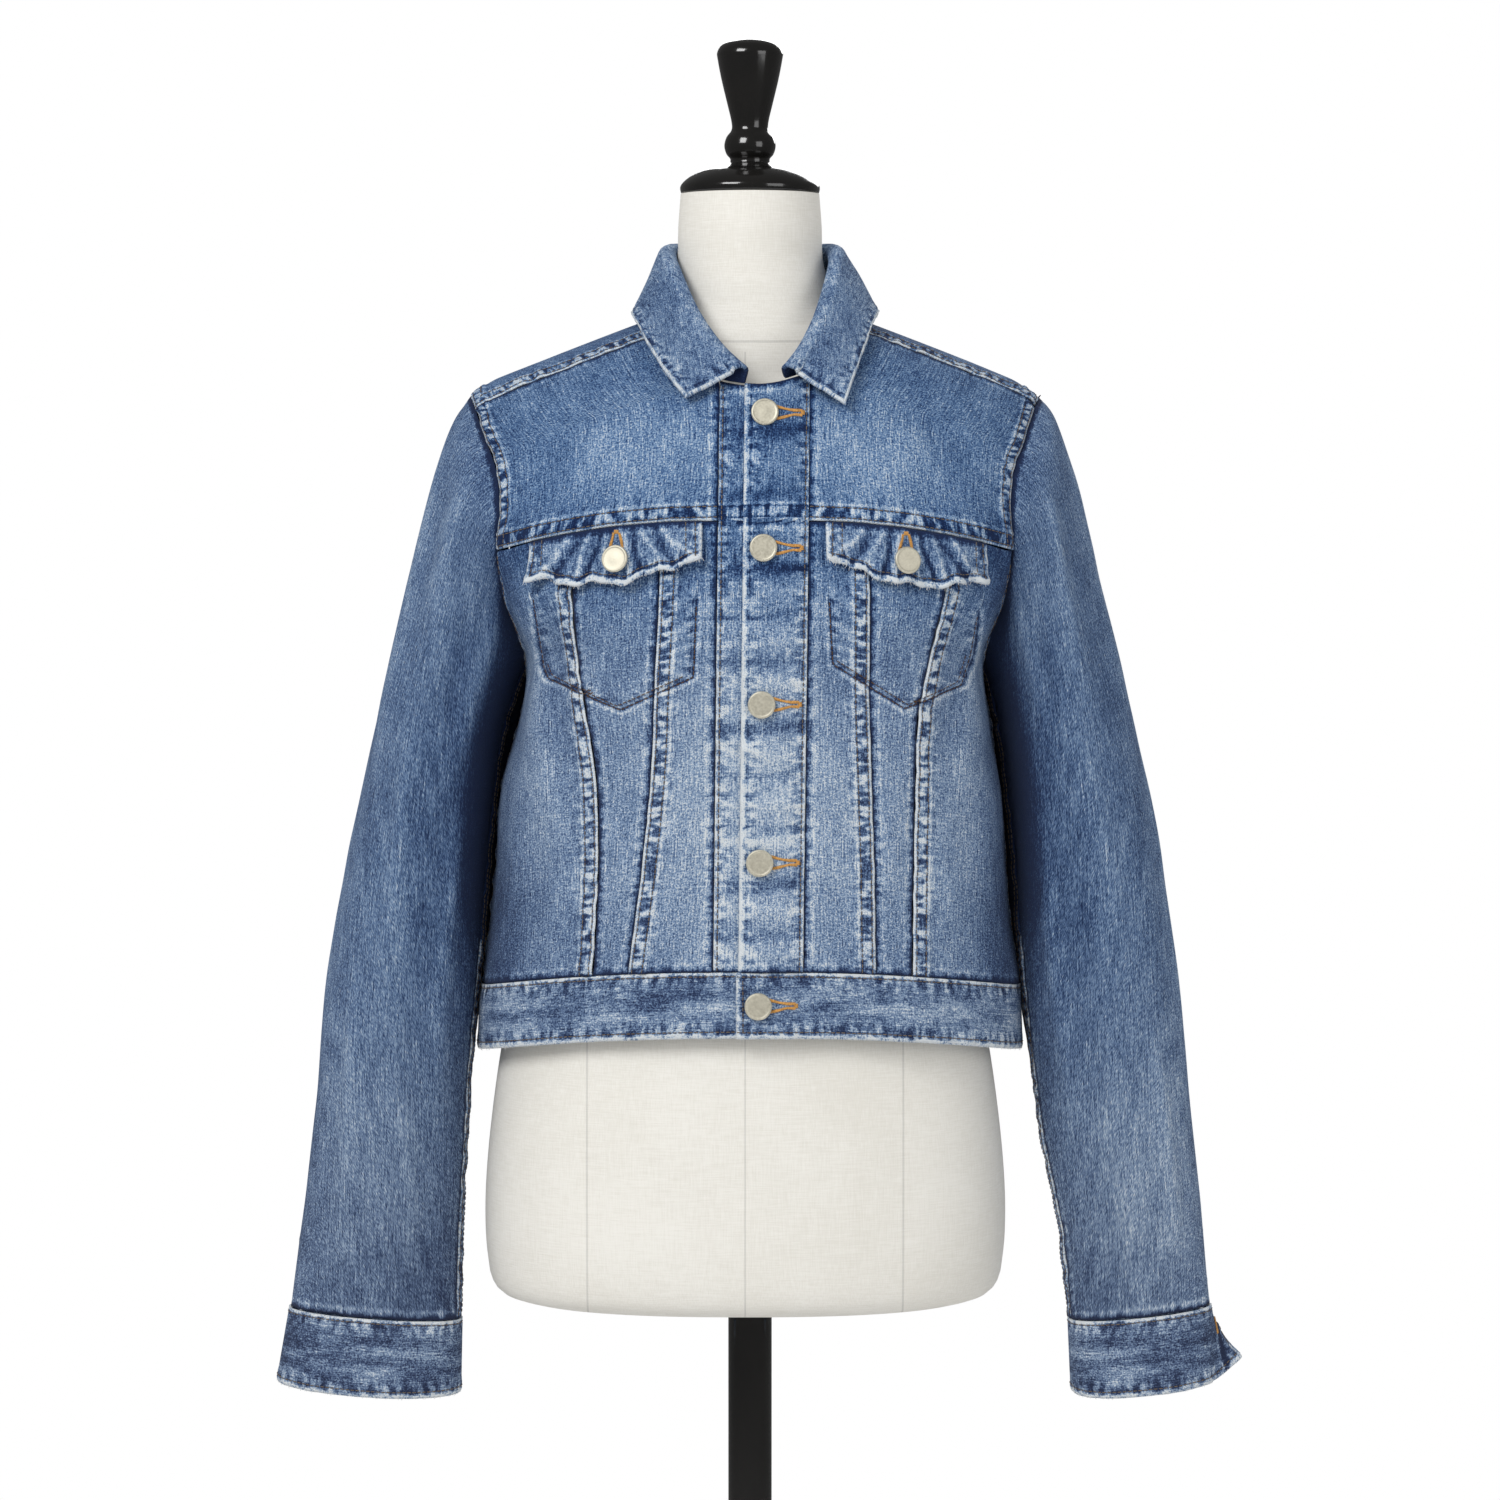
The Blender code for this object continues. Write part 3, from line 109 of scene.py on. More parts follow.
# the heights at which slanting edges are read, from the hem up to the neck
readAt = {"backLow": 0.940, "frontLow": 0.955, "flap": 1.200, "corner": 1.215, "side": 1.220, "front": 1.230,
          "ridge": 1.280, "collar": 1.318, "neck": 1.322}
bodySections = {
    "columns": ("z", "halfWidth", "front", "back", "square"),
    "rows": (
        (0.880, 0.1740, 0.1175, 0.1120, 2.3),
        (0.935, 0.1720, 0.1175, 0.1125, 2.3),
        (1.000, 0.1640, 0.1190, 0.1130, 2.4),
        (1.050, 0.1590, 0.1215, 0.1130, 2.5),
        (1.100, 0.1505, 0.1260, 0.1140, 2.7),
        (1.150, 0.1425, 0.1300, 0.1150, 2.8),
        (1.185, 0.1617, 0.1310, 0.1155, 2.8),
        (1.225, 0.1738, 0.1270, 0.1150, 2.8),
        (1.265, 0.1785, 0.1170, 0.1100, 2.8),
        (1.300, 0.1835, 0.1040, 0.1000, 2.8),
        (1.340, 0.1940, 0.0830, 0.0760, 2.8),
        (1.380, 0.2000, 0.0600, 0.0450, 2.8),
    ),
}
armholeShares = {
    "columns": ("z", "share"),
    "rows": (
        (1.1500, 1.000), (1.1650, 0.985), (1.1850, 0.962), (1.2150, 0.932),
        (1.2400, 0.901), (1.2670, 0.901), (1.2880, 0.934), (1.3135, 0.966),
    ),
}
frontSeams = {
    "columns": ("z", "right_a", "right_b", "left_a", "left_b"),
    "rows": (
        (0.955, -0.0755, -0.0975, 0.0780, 0.1004),
        (1.020, -0.0670, -0.0938, 0.0768, 0.1015),
        (1.080, -0.0610, -0.0950, 0.0748, 0.1025),
        (1.120, -0.0590, -0.1015, 0.0736, 0.1040),
        (1.160, -0.0570, -0.1065, 0.0730, 0.1120),
        (1.190, -0.0557, -0.1090, 0.0729, 0.1195),
        (1.240, -0.0545, -0.1110, 0.0729, 0.1230),
    ),
}
armMiddleZ = (body["armpitZ"] + body["tipZ"]) / 2


def lean(z):
    return body["lean"] * ease(z, body["leanLow"], body["leanHigh"])


def ridge(x):
    along = np.hypot(x, body["ridgeRound"]) - math.hypot(body["ridgeX"], body["ridgeRound"])
    past = np.maximum(np.abs(x) - body["ridgeBendX"], 0)
    return body["ridgeZ"] - body["ridgeSlope"] * along - body["ridgeBend"] * past**2


def fullness(drop):
    share = np.clip(drop / body["shoulderDrop"], 0, 1)
    return np.sqrt(1 - (1 - share) ** 2)


def dropOf(angle):
    turn = np.abs(angle)
    over = body["shoulderDrop"] * (1 - np.cos(np.minimum(turn, math.pi / 2)))
    return over + body["shoulderDrop"] * np.maximum(turn - math.pi / 2, 0)


def angleOf(drop):
    drop = np.maximum(drop, 0)
    over = np.arccos(np.clip(1 - drop / body["shoulderDrop"], 0, 1))
    return over + np.maximum(drop / body["shoulderDrop"] - 1, 0)


def torso(x, z, side):
    x, z, side = np.broadcast_arrays(np.asarray(x, float), np.asarray(z, float), np.asarray(side, float))
    halfWidth = readTable(bodySections, z, "halfWidth")
    square = readTable(bodySections, z, "square")
    depth = np.where(side < 0, readTable(bodySections, z, "front"), readTable(bodySections, z, "back"))
    across = np.maximum(1 - np.abs(x / halfWidth) ** square, 0) ** (1 / square)
    over = fullness(ridge(x) - z) / fullness(ridge(0 * x) - z)
    return np.stack([x + lean(z), side * depth * across * over, z], axis=-1)


def overShoulder(x, angle):
    return torso(x, ridge(x) - dropOf(angle), np.where(np.asarray(angle) < 0, -1, 1))


def around(turn, z):
    sine, cosine = np.sin(turn), np.cos(turn)
    reach = np.abs(sine) ** (2 / readTable(bodySections, z, "square"))
    x = np.copysign(readTable(bodySections, z, "halfWidth") * reach, sine)
    return torso(x, z, np.where(cosine > 0, -1, 1))


def turnOf(x, z):
    share = np.minimum(np.abs(x) / readTable(bodySections, z, "halfWidth"), 1)
    return np.copysign(np.arcsin(share ** (readTable(bodySections, z, "square") / 2)), x)


def armholeX(z):
    return readTable(armholeShares, z, "share") * readTable(bodySections, z, "halfWidth")


def armTurn(z):
    return np.arccos(np.clip((z - armMiddleZ) / (body["tipZ"] - armMiddleZ), -1, 1))


def armTurnZ(turn):
    return armMiddleZ + (body["tipZ"] - armMiddleZ) * np.cos(turn)


def seamTip(side):
    drop = dropOf(body["seamAngle"][side])
    low, high = body["ridgeX"], 0.19
    for _ in range(40):
        x = (low + high) / 2
        low, high = (x, high) if armholeX(ridge(x) - drop) > x else (low, x)
    return low, -body["seamAngle"][side]


def centreX(z):
    return body["centreX"] + body["centreSlope"] * (z - body["centreZ"]) - lean(z)


def hemZ(turn):
    return body["hemZ"] + body["hemRise"] * np.maximum(np.cos(turn), 0) ** 1.5


def bandTop(turn):
    return hemZ(turn) + body["bandHeight"]


def yokeFrontZ(x):
    return body["yokeFrontZ"] - body["yokeFrontFall"] * np.maximum(np.abs(x) - 0.03, 0) ** 2


def yokeBackZ(x):
    return body["yokeBackZ"] - body["yokeBackFall"] * np.square(x)


def neckAngle(x):
    return -body["neckFront"] * np.sqrt(np.maximum(1 - (x / body["neckHalf"]) ** 2, 0))


# a smooth random field, the same at every run, for unevenness in the cloth
fieldSize = 64
fieldGrid = np.random.default_rng(11).uniform(-1, 1, (fieldSize,) * 3)


def field(points, scale, seed=0.0):
    at = points * scale + seed
    cell = np.floor(at).astype(int)
    t = at - cell
    t = t * t * (3 - 2 * t)
    total = 0
    for i in (0, 1):
        for j in (0, 1):
            for k in (0, 1):
                weight = (t[..., 0] if i else 1 - t[..., 0]) * (t[..., 1] if j else 1 - t[..., 1])
                weight = weight * (t[..., 2] if k else 1 - t[..., 2])
                c = (cell + (i, j, k)) % fieldSize
                total = total + weight * fieldGrid[c[..., 0], c[..., 1], c[..., 2]]
    return total


# creases of the body: from and to are x and z as seen from the front or the back, height is + for a ridge
bodyCreases = {
    "columns": ("side", "x1", "z1", "x2", "z2", "bow", "width", "height"),
    "rows": (
        (-1, -0.146, 1.205, -0.128, 1.020, 0.006, 0.011, 0.0034),
        (-1, -0.126, 1.190, -0.118, 1.060, 0.004, 0.009, -0.0022),
        (-1, -0.150, 1.100, -0.140, 0.985, -0.004, 0.012, 0.0028),
        (-1, -0.118, 1.085, -0.126, 0.960, 0.003, 0.010, 0.0022),
        (-1, 0.150, 1.200, 0.134, 1.040, -0.006, 0.011, 0.0034),
        (-1, 0.130, 1.160, 0.124, 1.010, -0.004, 0.010, -0.0022),
        (-1, 0.148, 1.090, 0.143, 0.975, 0.003, 0.012, 0.0026),
        (-1, 0.118, 1.100, 0.121, 0.965, 0.003, 0.011, 0.0020),
        (-1, -0.108, 1.290, -0.055, 1.268, -0.006, 0.016, 0.0018),
        (-1, -0.140, 1.262, -0.100, 1.300, 0.005, 0.012, -0.0014),
        (-1, 0.112, 1.288, 0.062, 1.266, 0.006, 0.016, 0.0018),
        (-1, 0.143, 1.262, 0.104, 1.300, -0.005, 0.012, -0.0014),
        (-1, -0.045, 1.085, -0.030, 1.020, 0.003, 0.012, 0.0014),
        (-1, 0.050, 1.110, 0.055, 1.000, -0.003, 0.013, 0.0014),
        (-1, -0.080, 1.060, -0.084, 0.975, 0.002, 0.009, 0.0014),
        (-1, 0.089, 1.080, 0.089, 0.985, -0.002, 0.009, 0.0014),
        (1, -0.140, 1.195, -0.118, 1.030, 0.006, 0.012, 0.0032),
        (1, -0.100, 1.170, -0.105, 0.985, -0.004, 0.014, 0.0022),
        (1, -0.052, 1.140, -0.040, 0.990, 0.004, 0.016, 0.0018),
        (1, 0.018, 1.190, 0.026, 1.020, 0.003, 0.018, 0.0016),
        (1, 0.082, 1.150, 0.074, 0.985, -0.005, 0.015, 0.0022),
        (1, 0.142, 1.200, 0.122, 1.040, -0.005, 0.012, 0.0032),
        (1, 0.115, 1.090, 0.124, 0.975, 0.004, 0.012, 0.0020),
        (1, -0.110, 1.285, -0.040, 1.262, -0.006, 0.017, 0.0018),
        (1, 0.112, 1.290, 0.048, 1.268, 0.006, 0.017, 0.0018),
        (1, -0.020, 1.320, 0.030, 1.315, -0.004, 0.014, 0.0014),
    ),
}
# creases of the sleeves, by section from the armhole (0) to the wrist (11) and degrees from the outer side
sleeveCreases = {
    "columns": ("side", "n1", "a1", "n2", "a2", "bow", "width", "height"),
    "rows": (
        (-1, 1.2, 118, 5.6, 104, 6, 0.011, 0.0034),
        (-1, 0.8, 62, 4.2, 74, -4, 0.012, 0.0030),
        (-1, 4.6, 64, 8.4, 84, 5, 0.010, 0.0024),
        (-1, 5.4, 122, 9.2, 130, -5, 0.011, 0.0026),
        (-1, 7.4, 52, 10.6, 66, 4, 0.009, 0.0022),
        (-1, 2.2, 92, 4.8, 96, 3, 0.010, -0.0022),
        (-1, 8.6, 100, 10.7, 108, 3, 0.009, 0.0020),
        (-1, 1.0, 20, 6.0, 30, 8, 0.016, 0.0030),
        (-1, 4.4, -8, 8.6, 8, -6, 0.013, 0.0024),
        (-1, 1.4, -60, 5.4, -78, 6, 0.014, 0.0032),
        (-1, 4.8, -104, 9.0, -92, -6, 0.012, 0.0028),
        (-1, 7.8, -46, 10.6, -60, 5, 0.010, 0.0022),
        (-1, 2.0, -130, 6.4, -142, 5, 0.014, 0.0026),
        (1, 1.1, 116, 5.0, 106, -6, 0.011, 0.0034),
        (1, 1.0, 60, 5.2, 72, 5, 0.012, 0.0032),
        (1, 4.0, 88, 7.8, 78, -4, 0.010, 0.0024),
        (1, 5.8, 124, 9.4, 118, 5, 0.011, 0.0024),
        (1, 8.0, 56, 10.7, 62, -4, 0.009, 0.0022),
        (1, 2.6, 96, 4.4, 90, 3, 0.010, -0.0022),
        (1, 8.8, 98, 10.8, 92, 3, 0.009, 0.0020),
        (1, 1.2, 16, 5.6, 26, -7, 0.016, 0.0030),
        (1, 4.8, 0, 9.0, 12, 5, 0.013, 0.0024),
        (1, 1.2, -64, 5.0, -76, -6, 0.014, 0.0032),
        (1, 5.0, -100, 9.2, -88, 6, 0.012, 0.0028),
        (1, 7.6, -50, 10.5, -44, -5, 0.010, 0.0022),
        (1, 2.2, -128, 6.0, -138, 5, 0.014, 0.0026),
    ),
}


def crease(a, b, row, scaleA, scaleB):
    _, a1, b1, a2, b2, bow, width, height = row
    da, db = (a2 - a1) * scaleA, (b2 - b1) * scaleB
    length = math.hypot(da, db)
    alongX, alongY = da / length, db / length
    x, y = (a - a1) * scaleA, (b - b1) * scaleB
    t = (x * alongX + y * alongY) / length
    off = -x * alongY + y * alongX
    off = off - bow * 4 * t * (1 - t)
    inside = ease(t, -0.06, 0.30) * (1 - ease(t, 0.62, 1.06))
    spread = width * (0.75 + 0.5 * np.clip(t, 0, 1))
    return height * inside * bell(off, spread)


def bodyLift(points):
    x, y, z = points[..., 0], points[..., 1], points[..., 2]
    lift = 0.0012 * field(points, 16.0) + 0.0006 * field(points, 38.0, 5.0)
    lift = lift * ease(1.345 - z, 0, 0.05)
    for row in bodyCreases["rows"]:
        facing = ease(y * row[0], -0.004, 0.020)
        lift = lift + facing * crease(x, z, row, 1.0, 1.0)
    return lift


def spaced(length, startFine, endFine, fine=0.0013, coarse=0.0034, fineWidth=0.0135):
    places = [0.0]
    while places[-1] < length:
        at = places[-1]
        near = (startFine and at < fineWidth) or (endFine and length - at < fineWidth)
        places.append(at + (fine if near else coarse))
    places = np.array(places)
    return places / places[-1]


def gridNormals(surface, u, v, flip):
    h = cloth["step"]
    alongU = surface(np.clip(u + h, 0, 1), v) - surface(np.clip(u - h, 0, 1), v)
    alongV = surface(u, np.clip(v + h, 0, 1)) - surface(u, np.clip(v - h, 0, 1))
    normal = np.cross(alongU, alongV) * flip
    return normal / np.maximum(np.linalg.norm(normal, axis=-1, keepdims=True), 1e-12)


def arcs(points, axis):
    steps = np.linalg.norm(np.diff(points, axis=axis), axis=-1)
    sums = np.cumsum(steps, axis=axis)
    pad = np.zeros_like(np.take(sums, [0], axis=axis))
    return np.concatenate([pad, sums], axis=axis)


def makeSheet(name, surface, flip, edges, thickness, lift=None, extra=None, marks=None, coarse=0.0034):
    s = types.SimpleNamespace()
    s.name, s.edges = name, edges
    rough = np.linspace(0, 1, 9)
    ru, rv = np.meshgrid(rough, rough, indexing="ij")
    roughPoints = surface(ru, rv)
    width = arcs(roughPoints, 0)[-1].max()
    height = arcs(roughPoints, 1)[:, -1].max()
    us = spaced(width, edges["u0"] != "plain", edges["u1"] != "plain", coarse=coarse)
    vs = spaced(height, edges["v0"] != "plain", edges["v1"] != "plain", coarse=coarse)
    u, v = np.meshgrid(us, vs, indexing="ij")
    base = surface(u, v)
    normal = gridNormals(surface, u, v, flip)
    s.u, s.v, s.base, s.normal = u, v, base, normal
    s.across, s.up = arcs(base, 0), arcs(base, 1)
    s.far = {
        "u0": s.across, "u1": s.across[-1:, :] - s.across,
        "v0": s.up, "v1": s.up[:, -1:] - s.up,
    }
    height = np.zeros_like(u)
    s.fell, s.fold, s.tuck, s.pocket = (np.full_like(u, away) for _ in range(4))
    s.wear, s.deep, s.fade, s.crumple, s.grey = (np.zeros_like(u) for _ in range(5))
    nearU, nearV = np.full_like(u, away), np.full_like(u, away)
    for edge, kind in edges.items():
        if kind in ("plain", "hidden"):
            continue
        gate = extra(s, edge) if extra else np.ones_like(u)
        d = np.where(gate > 0.5, s.far[edge], away)
        if kind == "fell":
            height = height + cloth["fellRise"] * (1 - ease(d, 0.0108, 0.0125)) - 0.0007 * bell(d, 0.0009)
            height = height - 0.00035 * (bell(d - 0.0022, 0.0007) + bell(d - 0.0088, 0.0008))
            s.fell = np.minimum(s.fell, d)
        if kind == "fold":
            height = height - 0.0009 * bell(d, 0.0011) - 0.00030 * bell(d - 0.0042, 0.0008)
            s.fold = np.minimum(s.fold, d)
        if kind == "sewn":
            height = height - 0.00030 * bell(d - 0.0024, 0.0008)
            s.fold = np.minimum(s.fold, d + 0.0018)
        if kind == "tuck":
            s.tuck = np.minimum(s.tuck, d)
            d = d + 0.006
        if edge[0] == "v":
            nearV = np.minimum(nearV, d)
        else:
            nearU = np.minimum(nearU, d)
    s.sideways = ease(nearU - nearV, -0.0015, 0.0015)
    if lift is not None:
        height = height + lift(s)
    # seam puckers: short ripples that run across each strip
    seed = float(sum(ord(c) for c in name) % 17)
    rippleU = field(np.stack([s.across * 45, s.up * 180, u * 0], -1), 1.0, seed)
    rippleV = field(np.stack([s.across * 180, s.up * 45, u * 0 + 9], -1), 1.0, seed + 3)
    ripple = mix(rippleU, rippleV, s.sideways)
    puckered = np.maximum(1 - ease(s.fell, 0.0095, 0.0150), 0.8 * (1 - ease(s.fold, 0.0050, 0.0120)))
    puckered = np.maximum(puckered, 0.5 * (1 - ease(s.tuck, 0.001, 0.007)))
    height = height + 0.0010 * ripple * puckered
    s.height = height
    s.points = base + normal * height[..., None]
    if marks:
        marks(s)
    s.thickness = thickness
    s.area = float(np.linalg.norm(np.cross(
        np.diff(base, axis=0)[:, :-1], np.diff(base, axis=1)[:-1]), axis=-1).sum())
    s.flat = (float(s.across[-1].max()), float(s.up[:, -1].max()))
    s.flip = flip
    s.object = buildSheet(s)
    sheets[name] = s
    return s


def rims(u0, u1, v0, v1):
    return {"u0": u0, "u1": u1, "v0": v0, "v1": v1}


def patches(s, across, up, seed):
    return field(np.stack([s.across * across, s.up * up, s.u * 0], -1), 1.0, seed)


def atLeast(s, **values):
    for label, value in values.items():
        setattr(s, label, np.maximum(getattr(s, label), value))


def bandPatches(s, levelSeed, uprightSeed):
    return patches(s, 34, 150, levelSeed), patches(s, 210, 45, uprightSeed)


def buildSheet(s):
    n, m = s.u.shape
    bpy.ops.object.select_all(action="DESELECT")
    bpy.ops.mesh.primitive_grid_add(x_subdivisions=n - 1, y_subdivisions=m - 1, size=2)
    piece = bpy.context.active_object
    piece.name = piece.data.name = "cloth_" + s.name
    mesh = piece.data
    co = np.empty(len(mesh.vertices) * 3)
    mesh.vertices.foreach_get("co", co)
    co = co.reshape(-1, 3)
    i = np.rint((co[:, 0] + 1) / 2 * (n - 1)).astype(int)
    j = np.rint((co[:, 1] + 1) / 2 * (m - 1)).astype(int)
    mesh.vertices.foreach_set("co", s.points[i, j].astype(np.float32).ravel())
    loops = np.empty(len(mesh.loops), int)
    mesh.loops.foreach_get("vertex_index", loops)
    side = s.across - s.across[-1:, :] / 2
    uv = np.stack([side[i, j], s.up[i, j]], -1)[loops]
    if s.name in turnedGrain:
        uv = uv[:, ::-1]
        s.sideways = 1 - s.sideways
    mesh.uv_layers.active.data.foreach_set("uv", uv.astype(np.float32).ravel())
    for label in sheetMarks:
        layer = mesh.attributes.new(label, "FLOAT", "POINT")
        layer.data.foreach_set("value", getattr(s, label)[i, j].astype(np.float32))
    mesh.update()
    if s.flip < 0:
        bpy.ops.object.mode_set(mode="EDIT")
        bpy.ops.mesh.select_all(action="SELECT")
        bpy.ops.mesh.flip_normals()
        bpy.ops.object.mode_set(mode="OBJECT")
    mesh.shade_smooth()
    wall = piece.modifiers.new("Wall", "SOLIDIFY")
    wall.thickness = s.thickness
    wall.offset = -1
    wall.use_even_offset = False
    bpy.ops.object.modifier_apply(modifier=wall.name)
    return piece


# stitches: each is a short rounded bar laid along a line on the cloth
stitchBatches = {}
# how far each row of stitches lies from its edge
seamLines = {"near": 0.0022, "far": 0.0088, "fold": 0.0042, "band": 0.0024, "collar": 0.0048,
             "flapEdge": 0.0055, "flapInner": 0.0100}
stitch = {"pitch": 0.0033, "length": 0.0026, "radius": 0.00036, "sides": 5}


def lineAt(s, edge, distance, low=0.0, high=1.0):
    points, normals = [], []
    d = s.far[edge]
    upright = edge[0] == "u"
    count = s.u.shape[1] if upright else s.u.shape[0]
    for k in range(count):
        place = (s.v[0, k] if upright else s.u[k, 0])
        if not low <= place <= high:
            continue
        ds = d[:, k] if upright else d[k, :]
        pts = s.points[:, k] if upright else s.points[k, :]
        nrm = s.normal[:, k] if upright else s.normal[k, :]
        order = np.argsort(ds)
        points.append([np.interp(distance, ds[order], pts[order, c]) for c in range(3)])
        normals.append([np.interp(distance, ds[order], nrm[order, c]) for c in range(3)])
    return np.array(points), np.array(normals)


def sew(batch, points, normals, pitch=None, length=None, radius=None, sink=0.3):
    pitch = pitch or stitch["pitch"]
    length = length or stitch["length"]
    radius = radius or stitch["radius"]
    if len(points) < 2:
        return
    arc = np.concatenate([[0], np.cumsum(np.linalg.norm(np.diff(points, axis=0), axis=1))])
    count = int(arc[-1] / pitch)
    for k in range(count):
        a = (k + 0.5) * pitch - length / 2
        b = a + length
        ends = [np.array([np.interp(t, arc, points[:, c]) for c in range(3)]) for t in (a, b)]
        normal = np.array([np.interp(a, arc, normals[:, c]) for c in range(3)])
        addStitch(batch, ends[0], ends[1], normal, radius, sink)


def addStitch(batch, start, end, normal, radius, sink=0.3):
    normal = normal / max(np.linalg.norm(normal), 1e-9)
    along = end - start
    length = np.linalg.norm(along)
    if length < 1e-6:
        return
    along = along / length
    side = np.cross(normal, along)
    rings = ((0.0, 0.35, -0.5), (0.16, 0.9, 0.2), (0.84, 0.9, 0.2), (1.0, 0.35, -0.5))
    sides = stitch["sides"]
    points, faces = [], []
    for t, size, rise in rings:
        centre = start + along * length * t + normal * radius * (rise + 1 - sink * 2)
        for k in range(sides):
            angle = tau * (k + 0.25) / sides
            points.append(centre + radius * size * (side * math.cos(angle) + normal * math.sin(angle)))
    for r in range(len(rings) - 1):
        for k in range(sides):
            a, b = r * sides + k, r * sides + (k + 1) % sides
            faces.append((a, b, b + sides, a + sides))
    faces.append(tuple(reversed(range(sides))))
    faces.append(tuple(range((len(rings) - 1) * sides, len(rings) * sides)))
    stitchBatches.setdefault(batch, []).append((np.array(points), faces))


def sewEdges(s, batch, *lines):
    for edge, distance, low, high in lines:
        sew(batch, *lineAt(s, edge, distance, low, high))


def twin(edge, low=0, high=1, farLow=None, farHigh=None):
    near, far = seamLines["near"], seamLines["far"]
    yield edge, near, low, high
    yield edge, far, low if farLow is None else farLow, high if farHigh is None else farHigh


front = {
    "neckPlace": 0.66, "upperSewn": 0.0275, "underSewn": -0.0280,
    "upperFold": -0.0125, "underFold": 0.0125, "seamGapAngle": 0.006,
    "flapInner": {1: 0.0460, -1: 0.0290}, "flapWidth": {1: 0.0985, -1: 0.1050},
    "flapSideDrop": 0.0225, "flapPointDrop": 0.0345, "flapCurl": 0.0030,
    "flapRise": 0.0036,
    "buttonHeights": (1.3015, 1.2190, 1.1235, 1.0258), "waistButtonZ": 0.9370,
}


def frontEdge(side, z):
    return centreX(z) + (front["upperSewn"] if side > 0 else front["underSewn"])


def coons(bottom, top, start, end):
    def at(u, v):
        u3, v3 = u[..., None], v[..., None]
        zero, one = np.zeros_like(u), np.ones_like(u)
        upright = mix(bottom(u), top(u), v3)
        level = mix(start(v), end(v), u3)
        corners = mix(mix(bottom(zero), bottom(one), u3), mix(top(zero), top(one), u3), v3)
        return upright + level - corners
    return at


def pair(x, angle):
    x, angle = np.broadcast_arrays(x, angle)
    return np.stack([x, angle], -1)


def frontYokeSurface(side):
    gap = cloth["seamGap"] / 2
    shoulderTurn = math.acos(body["seamAngle"][side] / body["neckFront"])
    cornerZ = float(yokeFrontZ(armholeX(readAt["corner"])))
    tipX, tipAngle = seamTip(side)
    tipZ = float(ridge(tipX) - dropOf(tipAngle))

    def innerX(z):
        return np.abs(frontEdge(side, z)) + gap

    neckTurn = math.asin(float(innerX(readAt["neck"])) / body["neckHalf"])

    def frontPoint(x, z):
        return pair(x, -angleOf(ridge(x) - z))

    def bottom(u):
        x = mix(innerX(body["yokeFrontZ"]), armholeX(cornerZ), u)
        return frontPoint(x, yokeFrontZ(x) + gap)

    def top(u):
        return pair(mix(body["neckHalf"] * math.sin(shoulderTurn), tipX, u), tipAngle)

    def start(v):
        low = bottom(np.zeros(1))[0, 1]
        angle = mix(low, neckAngle(innerX(readAt["neck"])), v / front["neckPlace"])
        z = ridge(innerX(readAt["ridge"])) - dropOf(angle)
        turn = mix(neckTurn, shoulderTurn, (v - front["neckPlace"]) / (1 - front["neckPlace"]))
        onNeck = pair(body["neckHalf"] * np.sin(turn), -body["neckFront"] * np.cos(turn))
        return np.where((v < front["neckPlace"])[..., None], pair(innerX(z), angle), onNeck)

    def end(v):
        z = mix(cornerZ + gap, tipZ, v)
        return frontPoint(armholeX(z), z)

    plane = coons(bottom, top, start, end)

    def surface(u, v):
        point = plane(u, v)
        return overShoulder(side * point[..., 0], point[..., 1] - front["seamGapAngle"] * v)

    return surface


def bodySheetLift(s):
    return bodyLift(s.base)


pocketOutlines = {
    -1: ((-0.1340, 1.1870), (-0.1280, 1.1440), (-0.1250, 1.1370), (-0.0795, 1.1195), (-0.0345, 1.1400),
         (-0.0325, 1.1870)),
    1: ((0.0485, 1.1860), (0.0505, 1.1480), (0.0950, 1.1200), (0.1310, 1.1330), (0.1370, 1.1520), (0.1410, 1.1790)),
}


def pocketDistance(x, z, side):
    nearest, below = np.full(x.shape, 1.0), np.full(x.shape, -1.0)
    path = pocketOutlines[side]
    for (x1, z1), (x2, z2) in zip(path, path[1:]):
        dx, dz = x2 - x1, z2 - z1
        t = np.clip(((x - x1) * dx + (z - z1) * dz) / (dx * dx + dz * dz), 0, 1)
        off = np.hypot(x - x1 - t * dx, z - z1 - t * dz)
        beyond = np.sign((z - z1) * dx - (x - x1) * dz)
        below = np.where(off < nearest, beyond, below)
        nearest = np.minimum(nearest, off)
    return nearest * below


def pocketMarks(s):
    side = 1 if s.base[..., 0].mean() > 0 else -1
    inside = pocketDistance(s.base[..., 0], s.base[..., 2], side)
    s.pocket = np.where(s.base[..., 2] < 1.20, inside, away)


def pocketLift(s):
    side = 1 if s.base[..., 0].mean() > 0 else -1
    inside = pocketDistance(s.base[..., 0], s.base[..., 2], side)
    shown = ease(1.196 - s.base[..., 2], 0, 0.004)
    return shown * (0.0011 * ease(inside, 0.0005, 0.0035) - 0.0007 * bell(inside, 0.0011))


def panelLift(s):
    return bodyLift(s.base) + pocketLift(s)


def panelMarks(s):
    bodyFadeAndShade(s)
    pocketMarks(s)


